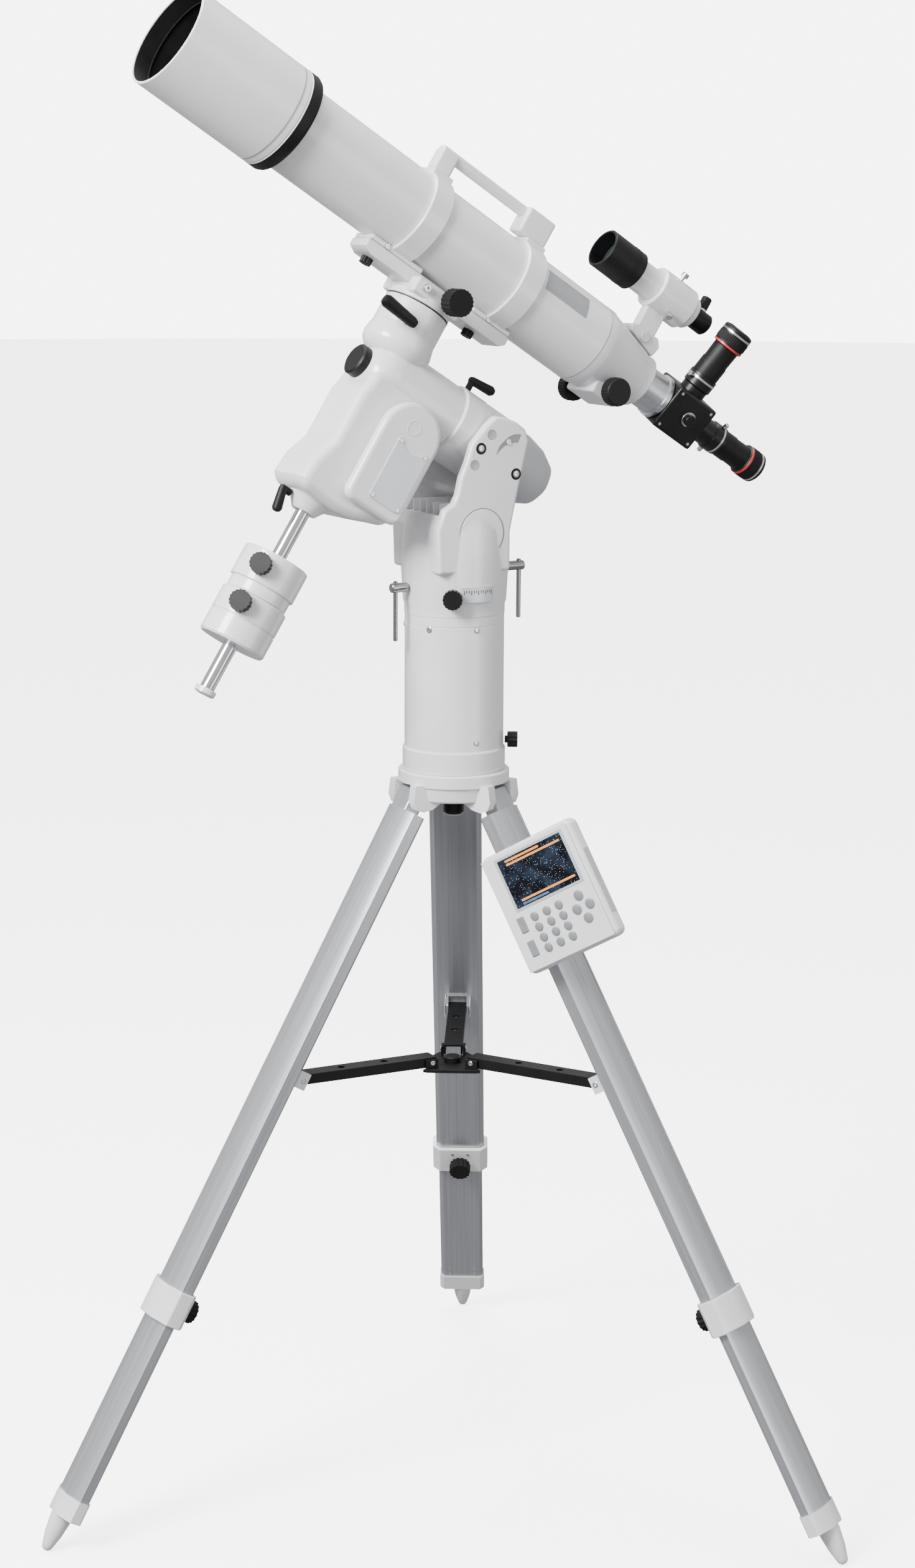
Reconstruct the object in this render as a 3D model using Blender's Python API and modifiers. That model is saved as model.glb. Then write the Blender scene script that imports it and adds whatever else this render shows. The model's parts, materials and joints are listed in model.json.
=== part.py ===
"""Telescope on a tripod: refractor, equatorial mount, half pillar, folding tripod.

The tripod stands on z = 0 with its back leg toward +Y. Sizes are in millimetres
and are turned into metres by MM as each shape is made. Two local frames are used:
  base frame   X = north along the ground, Y = west, Z = up, on the pillar's axis
  polar frame  X = along the polar axis, Y = west, Z = along the declination axis,
               on the point where those two axes cross
A leg's frame has its origin on the leg's hinge, Z up along the leg, Y outward.
"""
import bpy
import bmesh
from math import sin, cos, tan, atan, radians, degrees, pi, sqrt
from mathutils import Matrix, Vector

MM = 0.001
GAP = 0.3                       # left between pieces that touch

# tripod
FOOT_RADIUS = 617.4             # tripod axis to a leg's centre line on the floor
LEG_SLOPE = 0.5627              # outward run of a leg for each unit of height
HINGE_RADIUS = 66.0
LEG_ANGLES = {"left": 210.0, "right": 330.0, "back": 90.0}
LEG_WIDTH = 73.0
LEG_DEPTH = 34.0
LEG_WALL = 2.5
UPPER_START = 20.0              # along the leg from the hinge
UPPER_END = 745.0
COLLAR_START = 731.0
COLLAR_END = 780.0
COLLAR_WALL = 5.5
LOWER_START = 600.0
LOWER_END = 1052.0
FOOT_TIP_RADIUS = 8.0
COLLAR_KNOB_RADIUS = 16.0
BRACKET_AT = 410.0              # spreader bracket, along the leg
BRACKET_OUT = 33.0              # its pivot, inward of the leg's centre line
ARM_WIDTH = 26.0
ARM_HEIGHT = 14.0
HUB_PIVOT_RADIUS = 40.0
HUB_PIVOT_HEIGHT = 604.0
HUB_CLEAR = 0.6                 # beside each arm, in its fork
HUB_CHEEK = 3.5
HUB_SLOT = 31.0                 # how far in the slots reach, clear of the folding arms

# head and half pillar
HEAD_RADIUS = 76.0
HEAD_BOTTOM = 978.0
HEAD_TOP = 1016.0
PILLAR_RADIUS = 67.5
PILLAR_TOP = 1231.0

# mount
AZIMUTH = 211.66                # compass direction that the mount faces
LATITUDE = 32.5                 # polar axis above the horizon
AXES_U = 114.0                  # where the two axes cross, in the base frame
AXES_W = 1550.2
PIVOT_U = -57.0                 # altitude pivot, in the base frame
PIVOT_W = 1419.0
FORK_HALF = 64.0
FORK_INSIDE = 53.0
RA_RADIUS = 48.0
RA_SEAM = -110.0                # fixed and turning parts of the polar axis meet
DEC_RADIUS = 45.0
DEC_SEAM = 103.0
SHAFT_RADIUS = 10.0
SHAFT_END = -480.0
SHAFT_P = 4.0
WEIGHT_RADIUS = 45.5

# optical tube, along the polar frame's X at TUBE_Q on Z
TUBE_Q = 200.0
TUBE_RADIUS = 57.5
TUBE_WALL = 2.5
TUBE_FRONT = 287.0
TUBE_REAR = -244.0
DEW_RADIUS = 70.0
DEW_FRONT = 483.0
RING_RADIUS = 62.5
RING_WIDTH = 32.0
RING_FRONT_P = 68.0
RING_REAR_P = -101.0
DRAW_RADIUS = 29.0
DRAW_END = -393.0
FOCUS_P = -296.0
FOCUS_Q = 155.0
BOX_P = (-394.0, -466.0)
BOX_HALF = 33.0
BOX_TURN = 20.0                 # side port turned from the declination direction
FINDER_Q = 322.0
FINDER_RADIUS = 22.0

# hand controller on the right leg
PAD_LENGTH = 169.0
PAD_WIDTH = 154.5
PAD_DEPTH = 30.0
PAD_AT = 157.0                  # its centre, along the leg
PAD_OUT = 58.0                  # its centre, outward of the leg's centre line

for old in list(bpy.data.objects):
    bpy.data.objects.remove(old, do_unlink=True)

parts = bpy.data.collections.new("telescope_on_tripod")
cutters = bpy.data.collections.new("cutters")
for group in (parts, cutters):
    bpy.context.scene.collection.children.link(group)

FINISHES = {
    "white": ((0.78, 0.78, 0.79), 0.35, 0.0),
    "grey": ((0.52, 0.53, 0.55), 0.4, 0.0),
    "black": ((0.015, 0.015, 0.017), 0.45, 0.0),
    "anodised": ((0.02, 0.02, 0.022), 0.35, 0.6),
    "silver": ((0.62, 0.63, 0.65), 0.28, 1.0),
    "steel": ((0.55, 0.56, 0.58), 0.18, 1.0),
    "glass": ((0.25, 0.3, 0.35), 0.05, 0.0),
}


def material(name, finish):
    colour, rough, metal = FINISHES[finish]
    made = bpy.data.materials.new(name)
    made.use_nodes = True
    shader = made.node_tree.nodes["Principled BSDF"]
    shader.inputs["Base Color"].default_value = (*colour, 1.0)
    shader.inputs["Roughness"].default_value = rough
    shader.inputs["Metallic"].default_value = metal
    return made


def empty(name, parent, matrix):
    made = bpy.data.objects.new(name, None)
    parts.objects.link(made)
    made.parent = parent
    made.matrix_basis = matrix
    return made


def shift(x, y, z):
    return Matrix.Translation((x * MM, y * MM, z * MM))


def turn(degrees_, axis):
    return Matrix.Rotation(radians(degrees_), 4, axis)


def aim(x, y, z, direction):
    """At a point in millimetres, local Z along the direction."""
    quat = Vector(direction).to_track_quat("Z", "Y")
    return shift(x, y, z) @ quat.to_matrix().to_4x4()


def add(name, mesh, parent, matrix, finish):
    made = bpy.data.objects.new(name, mesh)
    if finish:
        parts.objects.link(made)
        mesh.materials.append(material(name, finish))
    else:
        cutters.objects.link(made)
        made.hide_render = True
        made.display_type = "WIRE"
    made.parent = parent
    made.matrix_basis = matrix
    return made


def turned(name, profile, parent, matrix, finish=None, steps=28, closed=False):
    """A profile of (radius, height) about local Z, from its top down the outside."""
    mesh = bpy.data.meshes.new(name)
    points = [(r * MM, 0.0, z * MM) for r, z in profile]
    edges = [(i, i + 1) for i in range(len(points) - 1)]
    if closed:
        edges.append((len(points) - 1, 0))
    mesh.from_pydata(points, edges, [])
    made = add(name, mesh, parent, matrix, finish)
    screw = made.modifiers.new("turn", "SCREW")
    screw.steps = screw.render_steps = steps
    screw.use_merge_vertices = True
    screw.merge_threshold = 0.00001
    screw.use_smooth_shade = True
    return made


def rod(name, radius, z0, z1, parent, matrix, finish=None, steps=20, soft=0.0):
    """A cylinder along local Z, its edges turned over by soft."""
    if soft:
        profile = [(0, z1), (radius - soft, z1), (radius, z1 - soft),
                   (radius, z0 + soft), (radius - soft, z0), (0, z0)]
    else:
        profile = [(0, z1), (radius, z1), (radius, z0), (0, z0)]
    return turned(name, profile, parent, matrix, finish, steps)


def bevel(made, width, segments=2, angle=40.0):
    if width:
        mod = made.modifiers.new("edges", "BEVEL")
        mod.width = width * MM
        mod.segments = segments
        mod.limit_method = "ANGLE"
        mod.angle_limit = radians(angle)
        mod.use_clamp_overlap = True
    return made


def prism(name, outline, z0, z1, parent, matrix, finish=None, edge=0.0, segments=2):
    """A flat outline of (x, y) points, filled and extruded between two heights."""
    curve = bpy.data.curves.new(name, "CURVE")
    curve.dimensions = "2D"
    curve.fill_mode = "BOTH"
    curve.extrude = (z1 - z0) / 2 * MM
    spline = curve.splines.new("POLY")
    spline.points.add(len(outline) - 1)
    for point, (x, y) in zip(spline.points, outline):
        point.co = (x * MM, y * MM, 0.0, 1.0)
    spline.use_cyclic_u = True
    flat = bpy.data.objects.new(name + "_outline", curve)
    cutters.objects.link(flat)
    ready = flat.evaluated_get(bpy.context.evaluated_depsgraph_get())
    mesh = bpy.data.meshes.new_from_object(ready)
    mesh.name = name
    bpy.data.objects.remove(flat)
    mesh.materials.clear()
    shape = bmesh.new()
    shape.from_mesh(mesh)
    bmesh.ops.remove_doubles(shape, verts=shape.verts, dist=0.000001)
    bmesh.ops.dissolve_limit(shape, angle_limit=0.001, verts=shape.verts, edges=shape.edges)
    bmesh.ops.recalc_face_normals(shape, faces=shape.faces)
    shape.to_mesh(mesh)
    shape.free()
    made = add(name, mesh, parent, matrix @ shift(0, 0, (z0 + z1) / 2), finish)
    return bevel(made, edge, segments)


def block(name, x, y, z, parent, matrix, finish=None, edge=0.0, segments=2):
    """A box between the given pairs, in millimetres."""
    mesh = bpy.data.meshes.new(name)
    shape = bmesh.new()
    size = Matrix.Diagonal([(b - a) * MM for a, b in (x, y, z)]).to_4x4()
    bmesh.ops.create_cube(shape, size=1.0, matrix=size)
    shape.to_mesh(mesh)
    shape.free()
    middle = shift(*[(a + b) / 2 for a, b in (x, y, z)])
    return bevel(add(name, mesh, parent, matrix @ middle, finish), edge, segments)


def combine(made, other, kind):
    mod = made.modifiers.new(kind.lower(), "BOOLEAN")
    mod.operation = kind
    mod.object = other
    mod.solver = "EXACT"


def fuse(made, *others):
    for other in others:
        combine(made, other, "UNION")
    return made


def cut(made, *others):
    for other in others:
        combine(made, other, "DIFFERENCE")
    return made


def inset(outline, by):
    """The outline moved inward by a distance, or outward when it is negative."""
    moved = []
    count = len(outline)
    for i in range(count):
        before, here, after = (Vector(outline[j % count]) for j in (i - 1, i, i + 1))
        a = (here - before).normalized()
        b = (after - here).normalized()
        na, nb = Vector((-a.y, a.x)), Vector((-b.y, b.x))
        half = (na + nb).normalized()
        moved.append(tuple(here + half * (by / half.dot(na))))
    return moved


def lobed(radius, depth, lobes, points=5):
    """A knob's outline with rounded lobes."""
    from_centre = []
    for i in range(lobes * points):
        a = 2 * pi * i / (lobes * points)
        r = radius - depth * (0.5 - 0.5 * cos(lobes * a))
        from_centre.append((r * cos(a), r * sin(a)))
    return from_centre


def arc(cx, cy, radius, start, end, count):
    return [(cx + radius * cos(radians(start + (end - start) * i / count)),
             cy + radius * sin(radians(start + (end - start) * i / count)))
            for i in range(count + 1)]


UP = Matrix.Identity(4)
ALONG_X = turn(90, "Y")          # local Z along +X
ALONG_Y = turn(-90, "X")         # local Z along +Y
FLAT_XZ = turn(90, "X")          # outline drawn in X and Z, extruded along Y

# the base of the box that bounds the whole object is centred on the origin
axis = empty("tripod_axis", None, shift(0, -FOOT_RADIUS / 4, 0))

# ---------------------------------------------------------------- tripod
tilt = atan(LEG_SLOPE)
hinge_height = (FOOT_RADIUS - HINGE_RADIUS) / LEG_SLOPE
half_w, half_d = LEG_WIDTH / 2, LEG_DEPTH / 2
LEG_SECTION = [(-half_w + 7, -half_d), (half_w - 7, -half_d), (half_w, -half_d + 6),
               (half_w, half_d - 13), (half_w - 22, half_d), (-half_w + 22, half_d),
               (-half_w, half_d - 13), (-half_w, -half_d + 6)]
INSIDE = inset(LEG_SECTION, LEG_WALL)
LOWER_SECTION = inset(LEG_SECTION, LEG_WALL + 0.6)

head = turned("tripod_head", [(0, HEAD_TOP), (HEAD_RADIUS - 2, HEAD_TOP), (HEAD_RADIUS, HEAD_TOP - 2),
                              (HEAD_RADIUS, HEAD_TOP - 17), (HEAD_RADIUS - 3, HEAD_TOP - 19),
                              (HEAD_RADIUS - 6, HEAD_BOTTOM + 2), (HEAD_RADIUS - 8, HEAD_BOTTOM),
                              (0, HEAD_BOTTOM)], axis, UP, "white", 28)
hub_top = HUB_PIVOT_HEIGHT - ARM_HEIGHT / 2 - 0.6
hub_reach = 62.0
hub_outline = []
for angle in sorted(LEG_ANGLES.values()):
    hub_outline += arc(hub_reach * 0.55 * cos(radians(angle)), hub_reach * 0.55 * sin(radians(angle)),
                       24.0, angle - 50, angle + 50, 5)
hub = prism("spreader_hub", hub_outline, hub_top - 5, hub_top, axis, UP, "black", 1.0, 1)
fuse(hub, rod("hub_boss", 12.0, hub_top - 12, hub_top + 9, axis, UP, steps=20, soft=2))
# a fork for each arm: two cheeks, and an open slot between them that the arm folds through
for side, angle in LEG_ANGLES.items():
    fork_at = turn(angle - 90, "Z")
    for sign in (-1, 1):
        cheek = ARM_WIDTH / 2 + HUB_CLEAR
        fuse(hub, block("hub_cheek_%s_%d" % (side, sign), sorted((sign * cheek, sign * (cheek + HUB_CHEEK))),
                        (HUB_SLOT, HUB_PIVOT_RADIUS + 10), (hub_top - 5, HUB_PIVOT_HEIGHT + 5), axis, fork_at,
                        None, 0.8, 1))
    cut(hub, block("hub_slot_" + side, (-ARM_WIDTH / 2 - HUB_CLEAR, ARM_WIDTH / 2 + HUB_CLEAR),
                   (HUB_SLOT, hub_reach + 20), (hub_top - 20, hub_top + 20), axis, fork_at))

for side, angle in LEG_ANGLES.items():
    leg = empty("leg_frame_" + side, axis, turn(angle - 90, "Z")
                @ shift(0, HINGE_RADIUS, hinge_height) @ Matrix.Rotation(tilt, 4, "X"))
    # two ears on the head, and the leg's tongue between them
    for sign in (-1, 1):
        ear = prism("ear_%s_%d" % (side, sign), [(-30, -2), (-14, -12), (0, -15), (11, -11), (15, 0),
                                                 (12, 22), (-30, 22)],
                    -8.0, 8.0, axis, turn(angle - 90, "Z") @ shift(sign * 30.0, HINGE_RADIUS, hinge_height)
                    @ turn(90, "Z") @ FLAT_XZ)
        fuse(head, ear)
    cut(head, block("tongue_room_" + side, (-22, 22), (-26, 40), (-60, 20), axis,
                    turn(angle - 90, "Z") @ shift(0, HINGE_RADIUS, hinge_height)))

    upper = prism("leg_upper_" + side, LEG_SECTION, -UPPER_END, -UPPER_START, leg, UP, "silver")
    cut(upper, prism("leg_hollow_" + side, INSIDE, -UPPER_END - 20, -UPPER_START - 14, leg, UP))
    tongue = block("tongue_" + side, (-21, 21), (-12, 12), (-UPPER_START - 6, 12), leg, UP, None, 4, 2)
    fuse(upper, tongue)
    bracket = block("bracket_" + side, (-17.5, 17.5), (-BRACKET_OUT - 7, -half_d + 1),
                    (-BRACKET_AT - 12, -BRACKET_AT + 12), leg, UP, None, 3, 1)
    cut(bracket, block("bracket_slot_" + side, (-ARM_WIDTH / 2 - 0.4, ARM_WIDTH / 2 + 0.4),
                       (-BRACKET_OUT - 30, -half_d - 3), (-BRACKET_AT - 40, -BRACKET_AT + 40), leg, UP))
    fuse(upper, bracket)

    collar = prism("leg_collar_" + side, inset(LEG_SECTION, -COLLAR_WALL), -COLLAR_END, -COLLAR_START,
                   leg, UP, "white", 1.5, 1)
    cut(collar,
        prism("collar_seat_" + side, inset(LEG_SECTION, -GAP), -UPPER_END - GAP, -COLLAR_START + 10, leg, UP),
        prism("collar_bore_" + side, inset(LOWER_SECTION, -GAP), -COLLAR_END - 10, -COLLAR_START, leg, UP))
    face = -half_d - COLLAR_WALL
    prism("collar_knob_" + side, lobed(COLLAR_KNOB_RADIUS, 3.0, 6, 4), 0, 16, leg,
          shift(0, face - 6, -757) @ turn(90, "X"), "black")
    fuse(bpy.data.objects["collar_knob_" + side],
         rod("knob_stem_" + side, 5.0, -5.6, 3, leg, shift(0, face - 6, -757) @ turn(90, "X"), steps=14))

    prism("leg_lower_" + side, LOWER_SECTION, -LOWER_END, -LOWER_START, leg, UP, "silver")
    tip = -(hinge_height - FOOT_TIP_RADIUS) / cos(tilt)
    foot = prism("leg_foot_" + side, inset(LOWER_SECTION, -2.0), -LOWER_END - 18, -LOWER_END + 12,
                 leg, UP, "white")
    cut(foot, prism("foot_seat_" + side, inset(LOWER_SECTION, -GAP), -LOWER_END - GAP, -LOWER_END + 30, leg, UP))
    r = FOOT_TIP_RADIUS
    bullet = turned("foot_tip_" + side, [(0, -LOWER_END - 6), (14, -LOWER_END - 6), (15, -LOWER_END - 24),
                                         (12, tip + 16), (r, tip)]
                    + [(r * cos(radians(a)), tip - r * sin(radians(a))) for a in (30, 60)]
                    + [(0, tip - r)], leg, UP, steps=16)
    fuse(foot, bullet)

    # spreader arm, from the leg's bracket to the hub
    pivot_r = HINGE_RADIUS + BRACKET_AT * sin(tilt) - BRACKET_OUT * cos(tilt)
    pivot_z = hinge_height - BRACKET_AT * cos(tilt) - BRACKET_OUT * sin(tilt)
    run = pivot_r - HUB_PIVOT_RADIUS
    rise = pivot_z - HUB_PIVOT_HEIGHT
    arm_length = sqrt(run * run + rise * rise)
    arm_at = turn(angle - 90, "Z") @ shift(0, pivot_r, pivot_z) @ Matrix.Rotation(atan(rise / run), 4, "X")
    arm = block("spreader_arm_" + side, (-ARM_WIDTH / 2, ARM_WIDTH / 2), (-arm_length - 8, 8),
                (-ARM_HEIGHT / 2, ARM_HEIGHT / 2), axis, arm_at, "black")
    cut(arm, block("arm_channel_" + side, (-ARM_WIDTH / 2 + 2.5, ARM_WIDTH / 2 - 2.5),
                   (-arm_length - 20, 20), (-20, ARM_HEIGHT / 2 - 2.5), axis, arm_at))
    for place in (0.33, 0.66):
        cut(arm, rod("arm_hole_%s_%d" % (side, place * 100), 5.0, -20, 20, axis,
                     arm_at @ shift(0, -arm_length * place, 0), steps=14))

turned("head_knob", [(0, HEAD_BOTTOM - GAP), (30, HEAD_BOTTOM - GAP), (30, HEAD_BOTTOM - 6),
                     (14, HEAD_BOTTOM - 9), (14, HEAD_BOTTOM - 24), (11, HEAD_BOTTOM - 27),
                     (0, HEAD_BOTTOM - 27)], axis, UP, "black", 24)

turned("half_pillar", [(0, PILLAR_TOP - GAP), (PILLAR_RADIUS, PILLAR_TOP - GAP), (PILLAR_RADIUS, 1218),
                       (PILLAR_RADIUS - 0.8, 1217), (PILLAR_RADIUS, 1216), (PILLAR_RADIUS, 1048),
                       (PILLAR_RADIUS + 2.5, 1045), (PILLAR_RADIUS + 2.5, HEAD_TOP + 6),
                       (PILLAR_RADIUS + 1, HEAD_TOP + GAP), (0, HEAD_TOP + GAP)], axis, UP, "white", 32)
prism("pillar_knob", lobed(11, 2, 6, 4), 4, 18, axis,
      aim(PILLAR_RADIUS + 1.5, 0, 1055, (1, 0, 0)), "black")
fuse(bpy.data.objects["pillar_knob"],
     rod("pillar_knob_stem", 5, 0.2, 8, axis, aim(PILLAR_RADIUS + 1.5, 0, 1055, (1, 0, 0)), steps=12))

# ---------------------------------------------------------------- mount base
base = empty("base_frame", axis, turn(AZIMUTH, "Z"))
low = [(0, 1378), (56, 1378), (64, 1368), (70, 1345), (73, 1300), (70, 1248), (68, 1242), (68, PILLAR_TOP), (0, PILLAR_TOP)]
mount = turned("mount_base", low, base, UP, "white", 32)
FORK = [(60, 1290), (62, 1350), (52, 1376), (38, 1384), (32, 1396), (27, 1418), (18, 1438), (10, 1462),
        (-12, 1486), (-26, 1497), (-42, 1495), (-60, 1487), (-73, 1477), (-78, 1463), (-70, 1430),
        (-60, 1388), (-50, 1342), (-50, 1290)]
fork = prism("fork_sides", FORK, -FORK_HALF, FORK_HALF, base, FLAT_XZ, None, 5.0, 2)
fuse(mount, fork)
ROOM = [(120, 1620), (120, 1382), (46, 1366), (-46, 1366), (-62, 1360), (-130, 1340), (-130, 1620)]
cut(mount, prism("fork_room", ROOM, -FORK_INSIDE, FORK_INSIDE, base, FLAT_XZ))

for name, end, height, sign in (("altitude_bolt_front", 98, 1268, 1), ("altitude_bolt_rear", -108, 1287, -1)):
    bolt = rod(name, 6.5, 73.6, abs(end), base, shift(0, 0, height) @ turn(90 * sign, "Y"), "silver", 16, 1.0)
    bar_at = sign * (abs(end) - 7)
    fuse(bolt, rod(name + "_bar", 3.2, -72, 9, base, shift(bar_at, 0, height), steps=10, soft=1))

for name, heading in (("azimuth_knob", 270.0), ("azimuth_knob_far", 90.0)):
    at = turn(heading, "Z") @ shift(71.5, 0, 1257) @ ALONG_X
    knob = prism(name, lobed(13.5, 2, 8, 4), 3.0, 16.0, axis, at, "black")
    fuse(knob, rod(name + "_stem", 6, 1.0, 6, axis, at, steps=14))

# ---------------------------------------------------------------- polar axis
pivot = empty("altitude_pivot", base, shift(PIVOT_U, 0, PIVOT_W))
polar = empty("polar_frame", pivot, shift(AXES_U - PIVOT_U, 0, AXES_W - PIVOT_W) @ turn(-LATITUDE, "Y"))
ra = turned("ra_housing", [(0, RA_SEAM - GAP), (RA_RADIUS + 1, RA_SEAM - GAP), (RA_RADIUS + 3.5, RA_SEAM - 3),
                           (RA_RADIUS + 3.5, -150), (RA_RADIUS + 3, -152), (RA_RADIUS + 3, -214), (0, -214)],
            polar, ALONG_X, "white", 28)
turned("ra_rear_cover", [(0, -214 - GAP), (RA_RADIUS + 1, -214 - GAP), (RA_RADIUS, -236), (43, -262),
                         (32, -284), (18, -293), (0, -295)], polar, ALONG_X, "grey", 32)

HOUSING = [(30, -4), (32, -24), (36, -40), (36, -112), (49, -146), (52, -176), (45, -188), (-9, -193), (-40, -190), (-70, -179),
           (-92, -172), (-97, -160), (-97, -62), (-84, -30), (-50, -6), (0, 8)]
dec = turned("dec_housing", [(0, DEC_SEAM - 0.5), (DEC_RADIUS - 1, DEC_SEAM - 0.5), (DEC_RADIUS, DEC_SEAM - 2),
                             (DEC_RADIUS, 66), (DEC_RADIUS - 0.7, 65), (DEC_RADIUS, 64), (48.5, 47),
                             (47, 37), (40, 28), (33, 23), (30, -60), (0, -62)], polar, UP, "white", 28)
fuse(dec,
     turned("ra_neck", [(0, 33), (24, 33), (33, 29), (42, 20), (46.5, 9), (RA_RADIUS, -6),
                        (RA_RADIUS, RA_SEAM), (0, RA_SEAM)], polar, ALONG_X, steps=28),
     prism("lower_housing", HOUSING, -46, 46, polar, FLAT_XZ, None, 14.0, 2),
     turned("shaft_boss", [(0, -170), (34, -170), (30, -190), (17, -208), (0, -208)], polar,
            shift(SHAFT_P, 0, 0), steps=24))
cut(dec, rod("shaft_bore", SHAFT_RADIUS + GAP, -260, -150, polar, shift(SHAFT_P, 0, 0), steps=20))

cover_outline = arc(-51, -58, 46, 180, 0, 12) + [(-5, -152)] + arc(-19, -156, 14, 0, -90, 3) \
    + arc(-83, -156, 14, -90, -180, 3)
cover = prism("motor_cover", cover_outline, -64, -46 - GAP, polar, FLAT_XZ, "white", 7.0, 2)

turned("polar_cap", [(0, 46), (19, 46), (22, 44), (22, 33 + GAP), (0, 33 + GAP)], polar, ALONG_X, "black", 28)


def lever(name, stub_from, stub_to, grip_from, grip_to, radius, stub_radius):
    """A clamp lever: a thin stub, and a rounded grip across its end."""
    stub_from, stub_to = Vector(stub_from), Vector(stub_to)
    grip_from, grip_to = Vector(grip_from), Vector(grip_to)
    length = (grip_to - grip_from).length
    made = turned(name, [(0, length + radius * 0.8), (radius * 0.7, length + radius * 0.6),
                         (radius, length), (radius * 0.82, 0), (radius * 0.6, -radius * 0.6),
                         (0, -radius * 0.8)], polar, aim(*grip_from, grip_to - grip_from), "black", 16)
    stub = rod(name + "_stub", stub_radius, 0, (stub_to - stub_from).length, polar,
               aim(*stub_from, stub_to - stub_from), steps=12)
    fuse(made, stub)


lever("ra_clamp_lever", (-124, 0, RA_RADIUS + 3.8), (-124, 0, 66), (-124, 0, 66), (-158, -4, 70), 7.0, 4.5)
lever("dec_clamp_lever", (24, 41.2, 70), (24, 56, 70), (24, 56, 70), (68, 50, 75), 9.0, 4.5)
lever("shaft_clamp_lever", (SHAFT_P + 29.6, 0, -196), (46, 0, -196), (46, 0, -196), (40, 0, -222), 7.0, 5.0)

shaft_at = shift(SHAFT_P, 0, 0)
turned("counterweight_shaft", [(0, -152), (SHAFT_RADIUS, -152), (SHAFT_RADIUS, SHAFT_END + 8),
                               (14, SHAFT_END + 8), (14, SHAFT_END + 1), (12, SHAFT_END), (0, SHAFT_END)],
       polar, shaft_at, "steel", 24)
bore = SHAFT_RADIUS + GAP
R = WEIGHT_RADIUS
turned("counterweight_upper", [(bore, -279), (R - 2, -279), (R, -281), (R, -322), (R - 3, -324),
                               (R - 3, -336), (R - 4, -339), (bore, -339)], polar, shaft_at, "white", 28, True)
turned("counterweight_lower", [(bore, -340), (R - 1, -340), (R + 0.5, -342), (R + 0.5, -372), (R - 1, -373),
                               (R - 1, -374), (R + 0.5, -375), (R + 0.5, -403), (R - 1.5, -406), (bore, -406)],
       polar, shaft_at, "white", 28, True)
for name, height in (("counterweight_knob_upper", -301), ("counterweight_knob_lower", -356)):
    a = radians(47)
    at = aim(SHAFT_P + (R + 1) * cos(a), (R + 1) * sin(a), height, (cos(a), sin(a), 0))
    knob = prism(name, lobed(14.5, 2.2, 7, 4), 3, 16, polar, at, "black")
    fuse(knob, rod(name + "_stem", 6, 0.2, 6, polar, at, steps=14))

# ---------------------------------------------------------------- saddle and rings
saddle = turned("dec_saddle", [(0, 116), (DEC_RADIUS - 3, 116), (DEC_RADIUS, 113), (DEC_RADIUS, DEC_SEAM + 1),
                               (DEC_RADIUS - 1.5, DEC_SEAM), (0, DEC_SEAM)], polar, UP, "white", 28)
fuse(saddle, block("saddle_jaws", (-40, 40), (-43, 43), (108, 131), polar, UP, None, 4.0, 2))
cut(saddle, block("saddle_slot", (-80, 80), (-23.5, 23.5), (119, 160), polar, UP))
at = aim(-16, 43, 124, (0, 1, 0))
prism("saddle_knob", lobed(18.5, 2.0, 8, 4), 8, 31, polar, at, "black")
fuse(bpy.data.objects["saddle_knob"], rod("saddle_knob_stem", 6.5, 0.3, 12, polar, at, steps=14))

ring_low = TUBE_Q - RING_RADIUS
plate_outline = [(120, ring_low - GAP - 1), (112, ring_low - GAP), (-122, ring_low - GAP), (-130, ring_low - GAP - 1),
                 (-130, 126), (-122, 119 + GAP), (108, 119 + GAP), (120, 126)]
prism("dovetail_plate", plate_outline, -23, 23, polar, FLAT_XZ, "white", 1.5, 1)

for name, centre, foot_from, foot_to in (("tube_ring_front", RING_FRONT_P, 30, 118),
                                         ("tube_ring_rear", RING_REAR_P, -128, -62)):
    z0, z1 = centre - RING_WIDTH / 2, centre + RING_WIDTH / 2
    inner = TUBE_RADIUS + GAP
    ring_at = shift(0, 0, TUBE_Q) @ ALONG_X
    ring = turned(name, [(inner, z1), (RING_RADIUS - 1, z1), (RING_RADIUS, z1 - 1), (RING_RADIUS, z0 + 1),
                         (RING_RADIUS - 1, z0), (inner, z0)], polar, ring_at, "white", 32, True)
    foot = block(name + "_foot", (foot_from, foot_to), (-23, 23), (ring_low, ring_low + 7), polar, UP, None, 1.5, 1)
    pad = block(name + "_pad", (z0, z1), (-20, 20), (TUBE_Q + 58.5, TUBE_Q + 66), polar, UP, None, 1.0, 1)
    ears = block(name + "_ears", (z0 + 3, z1 - 3), (-76, 76), (TUBE_Q - 8, TUBE_Q + 8), polar, UP, None, 2.0, 1)
    fuse(ring, foot, pad, ears)
    cut(ring, rod(name + "_bore", inner, -300, 300, polar, ring_at, steps=32))

handle_q = TUBE_Q + 95
handle = rod("carry_handle", 8.0, -88, 82, polar, shift(0, 0, handle_q) @ ALONG_X, "white", 18, 3)
top = TUBE_Q + 66 + GAP
fuse(handle,
     block("handle_rear", (-117, -70), (-15, 15), (top, handle_q + 9), polar, UP, None, 4.0, 2),
     block("handle_front", (54, 82), (-11, 11), (top, handle_q + 3), polar, UP, None, 4.0, 2))

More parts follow.
